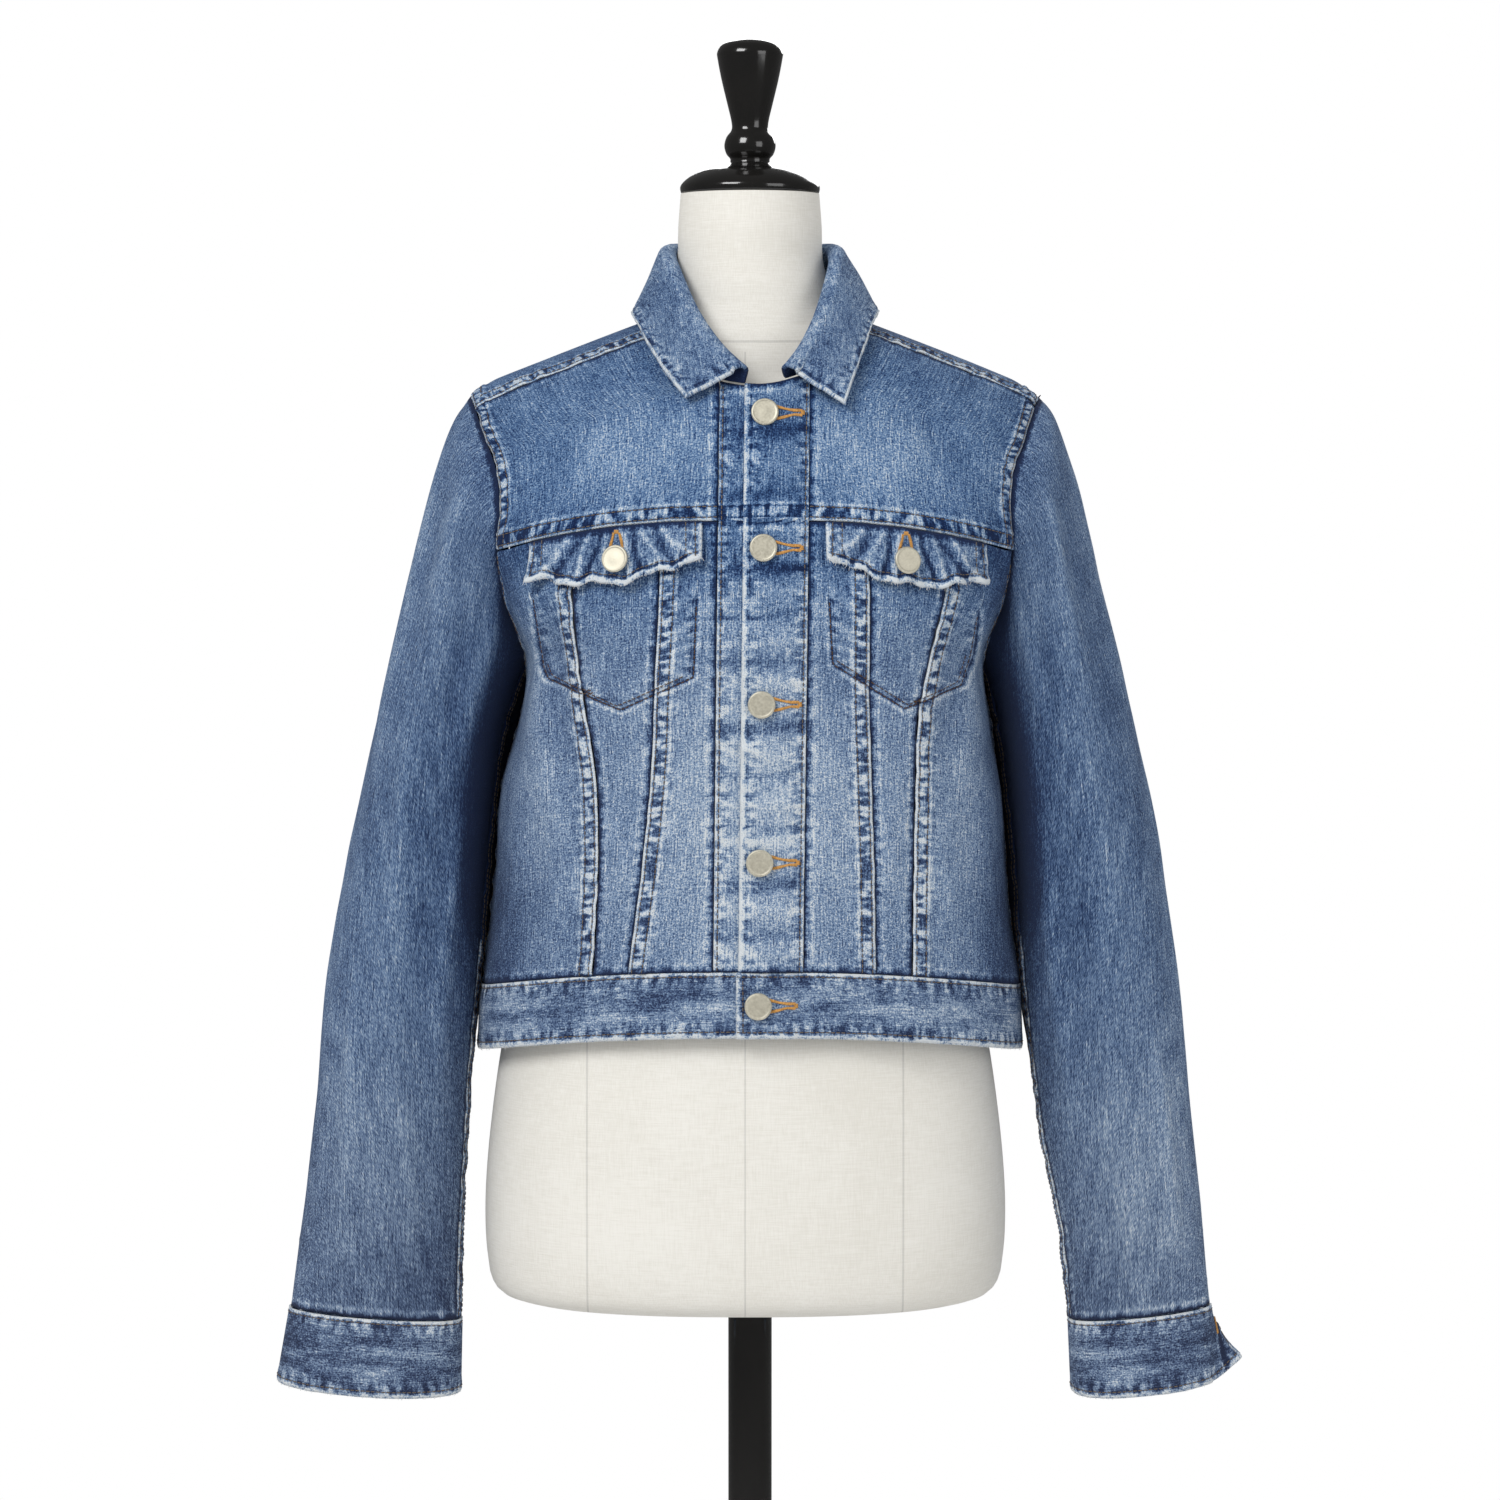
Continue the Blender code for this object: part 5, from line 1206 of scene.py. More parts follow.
def makeSleeves():
    for side in (1, -1):
        gap = sleeveSize["gap"]
        beside = treeOf(["front_side_" + sideNames[side], "back_side_" + sideNames[side], "waistband"])

        def seams(number):
            share = number / 11
            return (np.radians(mix(sleeveSize["backSeam"][0], sleeveSize["backSeam"][1], share)),
                    np.radians(mix(sleeveSize["frontSeam"][0], sleeveSize["frontSeam"][1], share)))

        def upperAngle(u, number):
            backSeam, frontSeam = seams(number)
            return mix(backSeam + gap, frontSeam - gap, u)

        def underAngle(u, number):
            backSeam, frontSeam = seams(number)
            return mix(frontSeam + gap, backSeam + tau - gap, u)

        for label, angleAt in (("sleeve_upper_", upperAngle), ("sleeve_under_", underAngle)):
            def numberAt(v):
                return mix(sleeveSize["start"], sleeveSize["end"], v)

            def surface(u, v):
                number = numberAt(v)
                return sleevePoint(side, number, angleAt(u, number))

            def lift(s):
                number = numberAt(s.v)
                angle = angleAt(s.u, number)
                s.creases = sleeveLift(side, number, angle, s.base)
                # slack cloth at the back of the inner side rests beside the body, just clear of it
                off = (np.degrees(angle) - sleeveSize["bulgeAngle"] + 180) % 360 - 180
                reach = ease(number, 0.3, 1.6) * (1 - ease(number, 6.6, 8.6))
                bulge = sleeveSize["bulge"] * bell(off, sleeveSize["bulgeWidth"]) * reach
                inner = (s.normal[..., 0] * side < -0.15) & (number > 0.5) & (number < 9)
                room = roomBeside(s, beside, inner)
                slack = np.clip(np.minimum(bulge, room - 0.0014 - s.creases), 0, None)
                s.creases = np.where(room < 1, np.minimum(s.creases, np.maximum(room - 0.0010, 0)), s.creases)
                # fullness eased in above the cuff
                gather = patches(s, 70, 6, 6.0)
                return s.creases + slack + 0.0010 * gather * ease(number, 10.3, 10.9)

            def marks(s):
                number = numberAt(s.v)
                out = s.normal[..., 0] * side
                ahead = ease(-s.normal[..., 1], 0.2, 0.9)
                # painted highlight on crease ridges and painted shade in their troughs, and painted shade over the
                # inner side that turns towards the body
                s.fade = s.fade + 60 * np.clip(s.creases, -0.004, 0.004) - 0.22 * ease(-out, -0.1, 0.7) - 0.06
                # painted highlight on the lower sleeve where it faces forward
                s.fade = s.fade + (0.24 if side > 0 else 0.17) * bell(number - 9.2, 1.3) * ahead
                s.fade = s.fade + 0.10 * bell(number - 2.0, 1.4)
                s.fade = s.fade + (0.10 if side > 0 else -0.06) * bell(number - 10.4, 1.1)
                s.grey = 0.10 + 0.55 * ease(number, 6.5, 10.5)
                patchy = 0.7 + 0.5 * patches(s, 190, 60, 5.0)
                atLeast(s, wear=0.42 * patchy * bell(s.far["v1"] - 0.0038, 0.0022))
                # painted shadow at the armhole end, beside the body's lapped seam strip
                atLeast(s, deep=0.8 * bell(s.far["v0"], 0.004))
                # painted shade on the side that faces the body, where its seam doesn't show
                facing = ease(-out, 0.55, 0.92) * (1 - ease(number, 6.0, 7.6))
                atLeast(s, deep=0.8 * facing)
                s.fell = np.where(facing > 0.4, away, s.fell)
                s.tuck = np.where(facing > 0.4, away, s.tuck)

            name = label + sideNames[side]
            edges = rims("fell", "tuck", "tuck", "tuck")
            middle = np.array(mix(sleeveSize["start"], sleeveSize["end"], 0.5))
            flip = outwards(surface, sleeveSection(side, middle))
            s = makeSheet(name, surface, flip, edges, cloth["denim"], lift, marks=marks, coarse=0.0038)
            sewEdges(s, "sleeve", *twin("u0"))


def outwards(surface, section):
    one = np.array([[0.5]])
    inner, outer, _, y = section
    centre = (inner + outer) / 2
    centre[1] = float(y)
    outward = surface(one, one)[0, 0] - centre
    return 1 if np.dot(gridNormals(surface, one, one, 1)[0, 0], outward) > 0 else -1


def cuffSection(side, v):
    inner, outer, depth, y = sleeveSection(side, 11.0 + 0 * v)
    slantInner, slantOuter = sleeveSize["cuffSlant"][side]
    down = -sleeveSize["cuffHeight"] * v - 2 * cloth["seamGap"]
    inner = inner + np.stack([side * (slantInner * v - sleeveSize["cuffRise"]), 0 * v, down], -1)
    outer = outer + np.stack([side * (slantOuter * v + sleeveSize["cuffRise"]), 0 * v, down], -1)
    return inner, outer, depth + sleeveSize["cuffRise"], y


def cuffSurface(side):
    slit = sleeveSize["backSeam"][1]

    def surface(u, v):
        degrees = mix(slit + sleeveSize["cuffSlit"] / 2, slit + 360 - sleeveSize["cuffSlit"] / 2, u)
        angle = np.radians(degrees)
        point = ringPoint(cuffSection(side, v), angle)
        point[..., 2] -= sleeveSize["cuffDip"] * v * np.maximum(np.sin(angle), 0)
        if side > 0:
            loose = (1 - ease(degrees, slit, sleeveSize["flareFrom"])) * v**1.3
            point = point + loose[..., None] * np.array(sleeveSize["flare"])
        return point

    return surface


def makeCuffs():
    for side in (1, -1):
        surface = cuffSurface(side)

        def lift(s):
            wave = patches(s, 30, 8, 12.0)
            return 0.0009 * wave

        def marks(s):
            atLeast(s, wear=0.9 * bell(s.far["v1"], 0.0020))
            atLeast(s, wear=1.1 * bell(s.far["v0"] - 0.0003, 0.0012))
            atLeast(s, crumple=0.26)
            s.grey = 0.72 + 0 * s.u
            if s.name == "cuff_left":
                # the open slit's shadow beside the loose corner
                shadow = s.far["u0"] - mix(0.0050, 0.0150, s.v)
                atLeast(s, deep=1.3 * bell(shadow, 0.0020) * ease(s.v, 0.02, 0.25))
                atLeast(s, wear=0.6 * bell(shadow - 0.0036, 0.0009) * ease(s.v, 0.02, 0.25))
            levelPatch, upright = bandPatches(s, 2.0, 7.0)
            nearEdge = np.maximum(0.6 * bell(s.far["v1"], 0.010), bell(s.far["v0"], 0.012))
            s.fade = s.fade - 0.10 + 0.44 * levelPatch * (1 - nearEdge) + 0.46 * upright * nearEdge

        name = "cuff_" + sideNames[side]
        flip = outwards(surface, cuffSection(side, np.array(0.5)))
        edges = rims("fold", "fold", "sewn", "fold")
        s = makeSheet(name, surface, flip, edges, cloth["band"], lift, marks=marks, coarse=0.0020)
        fold = seamLines["fold"]
        sewEdges(s, "sleeve", ("v0", seamLines["band"], 0, 1), ("v1", fold, 0, 1), ("u0", fold, 0.1, 0.9),
                 ("u1", fold, 0.1, 0.9))


collarTable = {
    "columns": ("place", "rollX", "rollY", "rollZ", "edgeX", "edgeAngle"),
    "rows": (
        (0.00, 0.0000, 0.0575, 1.4085, 0.0000, 0.72), (0.25, 0.0375, 0.0430, 1.4090, 0.0500, 0.60),
        (0.50, 0.0524, 0.0020, 1.4065, 0.0740, 0.00), (0.65, 0.0500, -0.0330, 1.3940, 0.0680, -0.54),
        (0.80, 0.0405, -0.0640, 1.3660, 0.0600, -0.84), (0.90, 0.0290, -0.0830, 1.3455, 0.0540, -1.00),
        (1.00, 0.0155, -0.1000, 1.3290, 0.0480, -1.135),
    ),
}
collarSize = {
    "endBeta": math.radians(13.2), "rollRadius": 0.0036, "lift": 0.0058, "seat": 0.0009, "rollShift": 0.0010,
    "stand": 0.30, "roll": 0.48,
}


def unit(vectors):
    return vectors / np.maximum(np.linalg.norm(vectors, axis=-1, keepdims=True), 1e-12)


def collarSurface(u, v):
    side, place = np.where(u > 0.5, 1, -1), np.abs(2 * u - 1)
    frontBeta = mix(math.pi / 2, collarSize["endBeta"], 2 * place - 1)
    beta = np.where(place < 0.5, math.pi * (1 - place), frontBeta)
    shift = centreX(readAt["collar"]) * np.maximum(2 * place - 1, 0) ** 2
    x = side * body["neckHalf"] * np.sin(beta) + shift
    turn = np.where(beta < math.pi / 2, -body["neckFront"], body["neckBack"])
    seam = overShoulder(x, turn * np.sqrt(np.maximum(1 - (x / body["neckHalf"]) ** 2, 0)))
    rollX = side * readTable(collarTable, place, "rollX") + shift
    rollX = rollX + mix(collarSize["rollShift"], body["lean"], np.maximum(2 * place - 1, 0))
    rollY, rollZ = (readTable(collarTable, place, key) for key in ("rollY", "rollZ"))
    roll = np.stack([rollX, rollY, rollZ], -1)
    edgeX = side * readTable(collarTable, place, "edgeX") + shift
    edgeAngle = readTable(collarTable, place, "edgeAngle")
    h = cloth["step"]
    beside = overShoulder(edgeX + h, edgeAngle) - overShoulder(edgeX - h, edgeAngle)
    along = overShoulder(edgeX, edgeAngle + h) - overShoulder(edgeX, edgeAngle - h)
    edge = overShoulder(edgeX, edgeAngle) + unit(np.cross(beside, along)) * collarSize["lift"]
    up = unit(roll - seam)
    out = edge - roll
    out = unit(out - up * (out * up).sum(-1, keepdims=True))
    radius = collarSize["rollRadius"]
    centre = roll - up * radius
    foot = seam + up * collarSize["seat"] - out * cloth["band"]
    v3 = v[..., None]
    stand = mix(foot, centre - out * radius, v3 / collarSize["stand"])
    rolled = math.pi * (v3 - collarSize["stand"]) / (collarSize["roll"] - collarSize["stand"])
    bend = centre + radius * (up * np.sin(rolled) - out * np.cos(rolled))
    share = (v3 - collarSize["roll"]) / (1 - collarSize["roll"])
    fall = mix(centre + out * radius, edge, share)
    return np.where(v3 <= collarSize["stand"], stand, np.where(v3 < collarSize["roll"], bend, fall))


def makeCollar():
    def lift(s):
        fall = ease(s.v, collarSize["roll"], 0.75)
        wave = patches(s, 22, 14, 1.0)
        return fall * (0.0011 * wave + 0.0014 * bell(s.u - 0.30, 0.06) - 0.0012 * bell(s.u - 0.72, 0.05))

    def marks(s):
        atLeast(s, wear=0.25 * bell(s.v - 0.42, 0.06))
        atLeast(s, crumple=0.24)
        # painted shade on the stand near its front ends, under the collar's fall
        atLeast(s, deep=0.9 * ease(0.34 - s.v, 0, 0.06) * ease(np.abs(2 * s.u - 1), 0.70, 0.85))
        s.fade = s.fade + 0.06 + 0.10 * patches(s, 34, 34, 9.0)

    def gate(s, edge):
        return ease(s.v, 0.40, 0.46) if edge[0] == "u" else 1.0 + 0 * s.v

    edges = rims("fold", "fold", "hidden", "fold")
    s = makeSheet("collar", collarSurface, -1, edges, cloth["band"], lift,
                  extra=gate, marks=marks, coarse=0.0024)
    low = collarSize["roll"] + 0.02
    line = seamLines["collar"]
    sewEdges(s, "body", ("v1", line, 0.01, 0.99), ("u0", line, low, 0.96), ("u1", line, low, 0.96))


makeFrontYokes()
makeLowerFronts()
makeBack()
makePlackets()
makeFlaps()
makeWaistband()
print("body sheets made")
makeSleeves()
makeCuffs()
makeCollar()
print("sleeves and collar made")


def onFront(tree, x, z):
    hit, normal, _, _ = tree.ray_cast(Vector((x, -0.5, z)), Vector((0, 1, 0)))
    if hit is None:
        hit, normal, _, _ = tree.find_nearest(Vector((x, -0.12, z)))
    return np.array(hit), np.array(normal)


def laidLine(tree, path, step=0.0016):
    points, normals = [], []
    for (x1, z1), (x2, z2) in zip(path, path[1:]):
        count = max(int(math.hypot(x2 - x1, z2 - z1) / step), 2)
        for k in range(count):
            hit, normal = onFront(tree, mix(x1, x2, k / count), mix(z1, z2, k / count))
            points.append(hit)
            normals.append(normal)
    return np.array(points), np.array(normals)


def makePocketStitches():
    tree = treeOf([n for n in sheets if n.startswith("front_")])
    for side, path in pocketOutlines.items():
        points, normals = laidLine(tree, path)
        sew("pocket", points, normals)
        inner = [(x + 0.0022 * (1 if x < sum(p[0] for p in path) / 6 else -1), z + 0.0024) for x, z in path]
        points, normals = laidLine(tree, inner[1:-1])
        sew("pocket", points, normals)


# buttonholes: a slot bound with orange thread, seen beside or above each button
buttonhole = {"length": 0.0235, "flapLength": 0.0165, "gape": 0.0040, "eye": 0.0185, "width": 0.0018,
              "pitch": 0.00065, "radius": 0.00046}


def makeButtonhole(tree, x, z, alongX, alongZ, length):
    sideX, sideZ = -alongZ, alongX
    rows = int(length / buttonhole["pitch"])
    for k in range(rows):
        t = (k + 0.5) * buttonhole["pitch"]
        gape = buttonhole["gape"] * (1 - min(t / buttonhole["eye"], 1.0)) + 0.0004
        for way in (-1, 1):
            jitter = 0.00025 * math.sin(k * 12.9 + way * 4.1)
            ends = []
            for off in (way * gape, way * (gape + buttonhole["width"] + jitter)):
                hit, normal = onFront(tree, x + alongX * t + sideX * off, z + alongZ * t + sideZ * off)
                ends.append(hit)
            addStitch("buttonhole", ends[0], ends[1], normal, buttonhole["radius"], 0.1)
    for k in range(4):
        off = (k - 1.5) * 0.0007
        ends = []
        for reach in (length - 0.0010, length + 0.0016):
            hit, normal = onFront(tree, x + alongX * reach + sideX * off, z + alongZ * reach + sideZ * off)
            ends.append(hit)
        addStitch("buttonhole", ends[0], ends[1], normal, buttonhole["radius"], 0.1)


def makeCuffButtonhole():
    near, normals = lineAt(sheets["cuff_left"], "u0", 0.0112, 0.20, 0.46)
    far, _ = lineAt(sheets["cuff_left"], "u0", 0.0136, 0.20, 0.46)
    count = int(np.linalg.norm(near[-1] - near[0]) / buttonhole["pitch"])
    for k in range(count):
        at = k / count * (len(near) - 1)
        ends = [np.array([np.interp(at, np.arange(len(rows)), rows[:, c]) for c in range(3)])
                for rows in (near, far, normals)]
        addStitch("buttonhole", *ends, buttonhole["radius"], 0.1)


def placeButtons():
    places = {}
    for number, z in enumerate(front["buttonHeights"]):
        places["button_placket_" + str(number + 1)] = (float(centreX(z) + lean(z)), z, (1, 0))
    z = front["waistButtonZ"]
    places["button_waistband"] = (float(centreX(z) + lean(z)), z, (1, 0))
    for side in (1, -1):
        x = side * (front["flapInner"][side] + front["flapWidth"][side] / 2) - float(lean(readAt["flap"]))
        z = float(yokeFrontZ(x)) - 0.020
        places["button_flap_" + sideNames[side]] = (x + float(lean(z)), z, (0, 1))
    return places


def turnedPiece(name, profile, sides):
    radius, z = profile[0]
    bpy.ops.object.select_all(action="DESELECT")
    bpy.ops.mesh.primitive_circle_add(vertices=sides, radius=radius, fill_type="NGON", location=(0, 0, z))
    piece = bpy.context.active_object
    piece.name = piece.data.name = name
    bpy.ops.object.transform_apply(location=True, rotation=True, scale=True)
    bpy.ops.object.mode_set(mode="EDIT")
    bpy.ops.mesh.select_all(action="SELECT")
    for nextRadius, nextZ in profile[1:]:
        bpy.ops.mesh.extrude_region_move(TRANSFORM_OT_translate={"value": (0, 0, nextZ - z)})
        share = nextRadius / radius
        bpy.ops.transform.resize(value=(share, share, 1), center_override=(0, 0, nextZ))
        radius, z = nextRadius, nextZ
    bpy.ops.mesh.select_all(action="SELECT")
    bpy.ops.mesh.normals_make_consistent(inside=False)
    bpy.ops.object.mode_set(mode="OBJECT")
    piece.data.shade_smooth()
    piece.data.set_sharp_from_angle(angle=math.radians(50))
    return piece


def rounded(profile, steps=4, sharp=()):
    points = []
    for i in range(len(profile) - 1):
        p = [np.array(profile[min(max(k, 0), len(profile) - 1)]) for k in (i - 1, i, i + 1, i + 2)]
        if i in sharp:
            p[0] = p[1]
        if i + 1 in sharp:
            p[3] = p[2]
        for k in range(steps):
            t = k / steps
            point = 0.5 * (2 * p[1] + (p[2] - p[0]) * t + (2 * p[0] - 5 * p[1] + 4 * p[2] - p[3]) * t**2
                           + (3 * p[1] - p[0] - 3 * p[2] + p[3]) * t**3)
            points.append((max(float(point[0]), 0.0002), float(point[1])))
    points.append((max(profile[-1][0], 0.0002), profile[-1][1]))
    return points


buttonProfile = (
    (0.0034, 0.0000), (0.0036, 0.0009), (0.0074, 0.0012), (0.0083, 0.0017), (0.0085, 0.0022), (0.0083, 0.0028),
    (0.0079, 0.0031), (0.0074, 0.0032), (0.0071, 0.0031), (0.0068, 0.00295), (0.0064, 0.0029), (0.0030, 0.0031),
    (0.0002, 0.0032),
)


def seatButton(name, place, aim):
    piece = turnedPiece("detail_" + name, buttonProfile, 36)
    piece.rotation_mode = "QUATERNION"
    piece.rotation_quaternion = Vector((0, 0, 1)).rotation_difference(aim)
    piece.location = place
    bpy.ops.object.transform_apply(location=True, rotation=True, scale=True)
    finish(piece, "button_metal", name)


def middleOf(name):
    low, high = (Vector(corner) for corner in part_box(name))
    return (low + high) / 2


def makeButtons():
    tree = treeOf(["placket_upper", "waistband", "pocket_flap_left", "pocket_flap_right"])
    for name, (x, z, way) in placeButtons().items():
        hit, normal = onFront(tree, x, z)
        aim = Vector(normal)
        lying = way == (1, 0)
        if lying:
            aim = Vector((0, -1, 0)).lerp(aim, 0.6).normalized()
        above = (middleOf(name) - Vector(hit)).dot(aim)
        seat = Vector(hit) + aim * min(max(above - 0.0016, 0.0002), 0.0020)
        length = buttonhole["length" if lying else "flapLength"]
        makeButtonhole(tree, x - 0.0005 if lying else x, z, *way, length)
        seatButton(name, seat, aim)
    for side in (1, -1):
        name = "button_cuff_" + sideNames[side]
        angle = math.radians(sleeveSize["buttonAngle"])

        def ring(u, v):
            return ringPoint(cuffSection(side, v), angle + (u - 0.5))

        one = np.array([[0.5]])
        normal = gridNormals(ring, one, one, 1)[0, 0]
        normal = Vector(-normal if normal[1] < 0 else normal)
        middle = middleOf(name)
        hit, _, _, _ = treeOf(["cuff_" + sideNames[side]]).ray_cast(middle + normal * 0.03, -normal)
        seatButton(name, middle if hit is None else hit, normal)


formRows = (
    (0.7380, 0.1450, 0.0900, 0.0950, 2.4), (0.7415, 0.1560, 0.1000, 0.1060, 2.4), (0.7490, 0.1625, 0.1055, 0.1120, 2.4),
    (0.7600, 0.1650, 0.1080, 0.1150, 2.4), (0.7800, 0.1668, 0.1095, 0.1170, 2.4), (0.8100, 0.1665, 0.1095, 0.1180, 2.4),
    (0.8500, 0.1630, 0.1085, 0.1150, 2.4), (0.9000, 0.1560, 0.1060, 0.1060, 2.3), (0.9500, 0.1460, 0.1010, 0.0980, 2.3),
    (1.0100, 0.1310, 0.0950, 0.0880, 2.2), (1.0600, 0.1260, 0.0950, 0.0860, 2.2), (1.1100, 0.1290, 0.1040, 0.0900, 2.3),
    (1.1550, 0.1320, 0.1150, 0.0980, 2.4), (1.1950, 0.1380, 0.1170, 0.1020, 2.4), (1.2350, 0.1460, 0.1080, 0.1010, 2.4),
    (1.2700, 0.1510, 0.0940, 0.0930, 2.4), (1.2980, 0.1540, 0.0790, 0.0800, 2.3), (1.3150, 0.1530, 0.0690, 0.0700, 2.2),
)
formShoulders = (1.3240, 1.3310, 1.3380, 1.3450, 1.3520, 1.3575)
formNeck = (
    (1.3615, 0.0600, 0.0520, 0.0495, 2.1), (1.3700, 0.0540, 0.0500, 0.0490, 2.0), (1.3820, 0.0505, 0.0485, 0.0480, 2.0),
    (1.4000, 0.0462, 0.0462, 0.0466, 2.0), (1.4200, 0.0456, 0.0455, 0.0460, 2.0), (1.4412, 0.0440, 0.0440, 0.0444, 2.0),
)
form = {"x": -0.0030, "seat": 0.0037, "front": (0.0620, 0.0530), "back": (0.0600, 0.0500), "sides": 120}


def ridgeX(z):
    low, high = 0.0, 0.2
    for _ in range(40):
        middle = (low + high) / 2
        low, high = (middle, high) if float(ridge(middle)) > z else (low, middle)
    return low


def makeForm():
    rows = list(formRows)
    for number, z in enumerate(formShoulders):
        share = number / (len(formShoulders) - 1)
        half = min(ridgeX(z + form["seat"]), formRows[-1][1])
        rows.append((z, half, mix(*form["front"], share), mix(*form["back"], share), 2.0))
    rows += list(formNeck)
    table = {"columns": ("z", "half", "front", "back", "square"), "rows": tuple(rows)}
    heights = []
    for low, high in zip(rows, rows[1:]):
        count = max(int((high[0] - low[0]) / 0.006), 2)
        heights += [mix(low[0], high[0], k / count) for k in range(count)]
    heights.append(rows[-1][0])
    bpy.ops.object.select_all(action="DESELECT")
    bpy.ops.mesh.primitive_uv_sphere_add(segments=form["sides"], ring_count=len(heights) + 1, radius=1.0)
    piece = bpy.context.active_object
    piece.name = piece.data.name = "form_body"
    mesh = piece.data
    last = len(heights)
    for vertex in mesh.vertices:
        number = round((math.asin(max(min(vertex.co.z, 1), -1)) / math.pi + 0.5) * (last + 1)) - 1
        z = heights[min(max(number, 0), last - 1)]
        x = formX(z)
        if number < 0 or number >= last:
            vertex.co = (x, 0, z)
            continue
        half, ahead, behind, square = (float(readTable(table, z, c)) for c in table["columns"][1:])
        turn = math.atan2(vertex.co.x, -vertex.co.y)
        depth = ahead if math.cos(turn) > 0 else behind
        side, fore = float(power(math.sin(turn), square)), float(power(math.cos(turn), square))
        vertex.co = (x + half * side, -depth * fore, z)
    mesh.shade_smooth()
    mesh.set_sharp_from_angle(angle=math.radians(60))
    finish(piece, "form_linen", "form_torso")


def formX(z):
    shift = float(ease(z, 0.95, 1.25))
    return mix(form["x"], body["lean"], shift) * (1 - float(ease(z, 1.36, 1.40)))


neckCap = (
    (0.0430, 1.4416), (0.0440, 1.4425), (0.0440, 1.4465), (0.0390, 1.4515), (0.0300, 1.4560), (0.0195, 1.4588),
    (0.0130, 1.4608), (0.0002, 1.4608),
)
finial = (
    (0.0126, 1.4611), (0.0126, 1.4635), (0.0150, 1.4665), (0.0163, 1.4716), (0.0150, 1.4770), (0.0118, 1.4815),
    (0.0118, 1.4870), (0.0145, 1.4985), (0.0180, 1.5130), (0.0205, 1.5260), (0.0208, 1.5305), (0.0180, 1.5350),
    (0.0110, 1.5380), (0.0002, 1.5400),
)
standBase = (
    (0.1690, 0.0000), (0.1700, 0.0020), (0.1690, 0.0050), (0.1620, 0.0080), (0.1000, 0.0120), (0.0320, 0.0150),
    (0.0245, 0.0180), (0.0230, 0.0320), (0.0210, 0.0340), (0.0002, 0.0340),
)


def makeStand():
    finish(turnedPiece("turned_cap", rounded(neckCap, sharp=(0, 6)), 96), "black_turned", "form_neck_cap")
    finish(turnedPiece("turned_finial", rounded(finial, sharp=(0,)), 72), "black_turned", "form_finial")
    finish(turnedPiece("stand_foot", rounded(standBase, sharp=(0, 1, 3, 8, 9)), 128), "black_stand", "form_base")
    bottom, top = standBase[-1][1] + 0.0003, formRows[0][0] - 0.0003
    pole = turnedPiece("stand_pole", ((0.0140, bottom), (0.0140, (bottom + top) / 2), (0.0140, top)), 64)
    finish(pole, "black_stand", "form_pole")


looks = {}
shading = {"tree": None}
threadColours = {
    "tonalThread": (0.190, 0.150, 0.115, 1), "tanThread": (0.130, 0.075, 0.045, 1),
    "orangeThread": (0.700, 0.370, 0.110, 1), "paleFibre": (0.860, 0.870, 0.880, 1),
}


def newLook(name, **values):
    look = bpy.data.materials.new(name)
    look.use_nodes = True
    shading["tree"] = look.node_tree
    shader = look.node_tree.nodes["Principled BSDF"]
    for label, value in values.items():
        shader.inputs[label.replace("_", " ")].default_value = value
    looks[name] = look
    return shader


def plug(value, socket):
    if isinstance(value, bpy.types.NodeSocket):
        shading["tree"].links.new(value, socket)
    else:
        socket.default_value = value


def node(kind, inputs=None, **settings):
    made = shading["tree"].nodes.new(kind)
    for key, value in settings.items():
        setattr(made, key, value)
    for key, value in (inputs or {}).items():
        plug(value, made.inputs[key])
    return made


def maths(operation, *values):
    made = node("ShaderNodeMath", operation=operation)
    for socket, value in zip(made.inputs, values):
        plug(value, socket)
    return made.outputs[0]


def times(a, b):
    return maths("MULTIPLY", a, b)


def larger(a, b):
    return maths("MAXIMUM", a, b)


def attribute(name):
    return node("ShaderNodeAttribute", attribute_name=name).outputs["Fac"]


def noise(vector, scale, detail=2.0, rough=0.5):
    values = {"Vector": vector, "Scale": scale, "Detail": detail, "Roughness": rough}
    return node("ShaderNodeTexNoise", values).outputs["Fac"]


def stretchedUv(x, y):
    uv = node("ShaderNodeUVMap", uv_map="UVMap").outputs["UV"]
    return node("ShaderNodeMapping", {"Vector": uv, "Scale": (x, y, 1)}).outputs["Vector"]


def level(value, low, high, outLow=0.0, outHigh=1.0):
    values = {"Value": value, "From Min": low, "From Max": high, "To Min": outLow, "To Max": outHigh}
    return node("ShaderNodeMapRange", values, interpolation_type="SMOOTHSTEP").outputs["Result"]


def colourMix(share, a, b):
    return node("ShaderNodeMix", {0: share, 6: a, 7: b}, data_type="RGBA").outputs[2]


def ramp(value, stops):
    made = node("ShaderNodeValToRGB")
    made.color_ramp.interpolation = "B_SPLINE"
    made.color_ramp.elements[0].position, made.color_ramp.elements[0].color = stops[0]
    made.color_ramp.elements[1].position, made.color_ramp.elements[1].color = stops[-1]
    for position, colour in stops[1:-1]:
        made.color_ramp.elements.new(position).color = colour
    plug(value, made.inputs["Fac"])
    return made.outputs["Color"]


def bumped(shader, height, strength, distance):
    bump = node("ShaderNodeBump", {"Height": height, "Strength": strength, "Distance": distance})
    plug(bump.outputs["Normal"], shader.inputs["Normal"])


def centred(value, amount):
    return maths("MULTIPLY_ADD", value, amount, -amount / 2)


def total(*values):
    result = values[0]
    for value in values[1:]:
        result = maths("ADD", result, value)
    return result


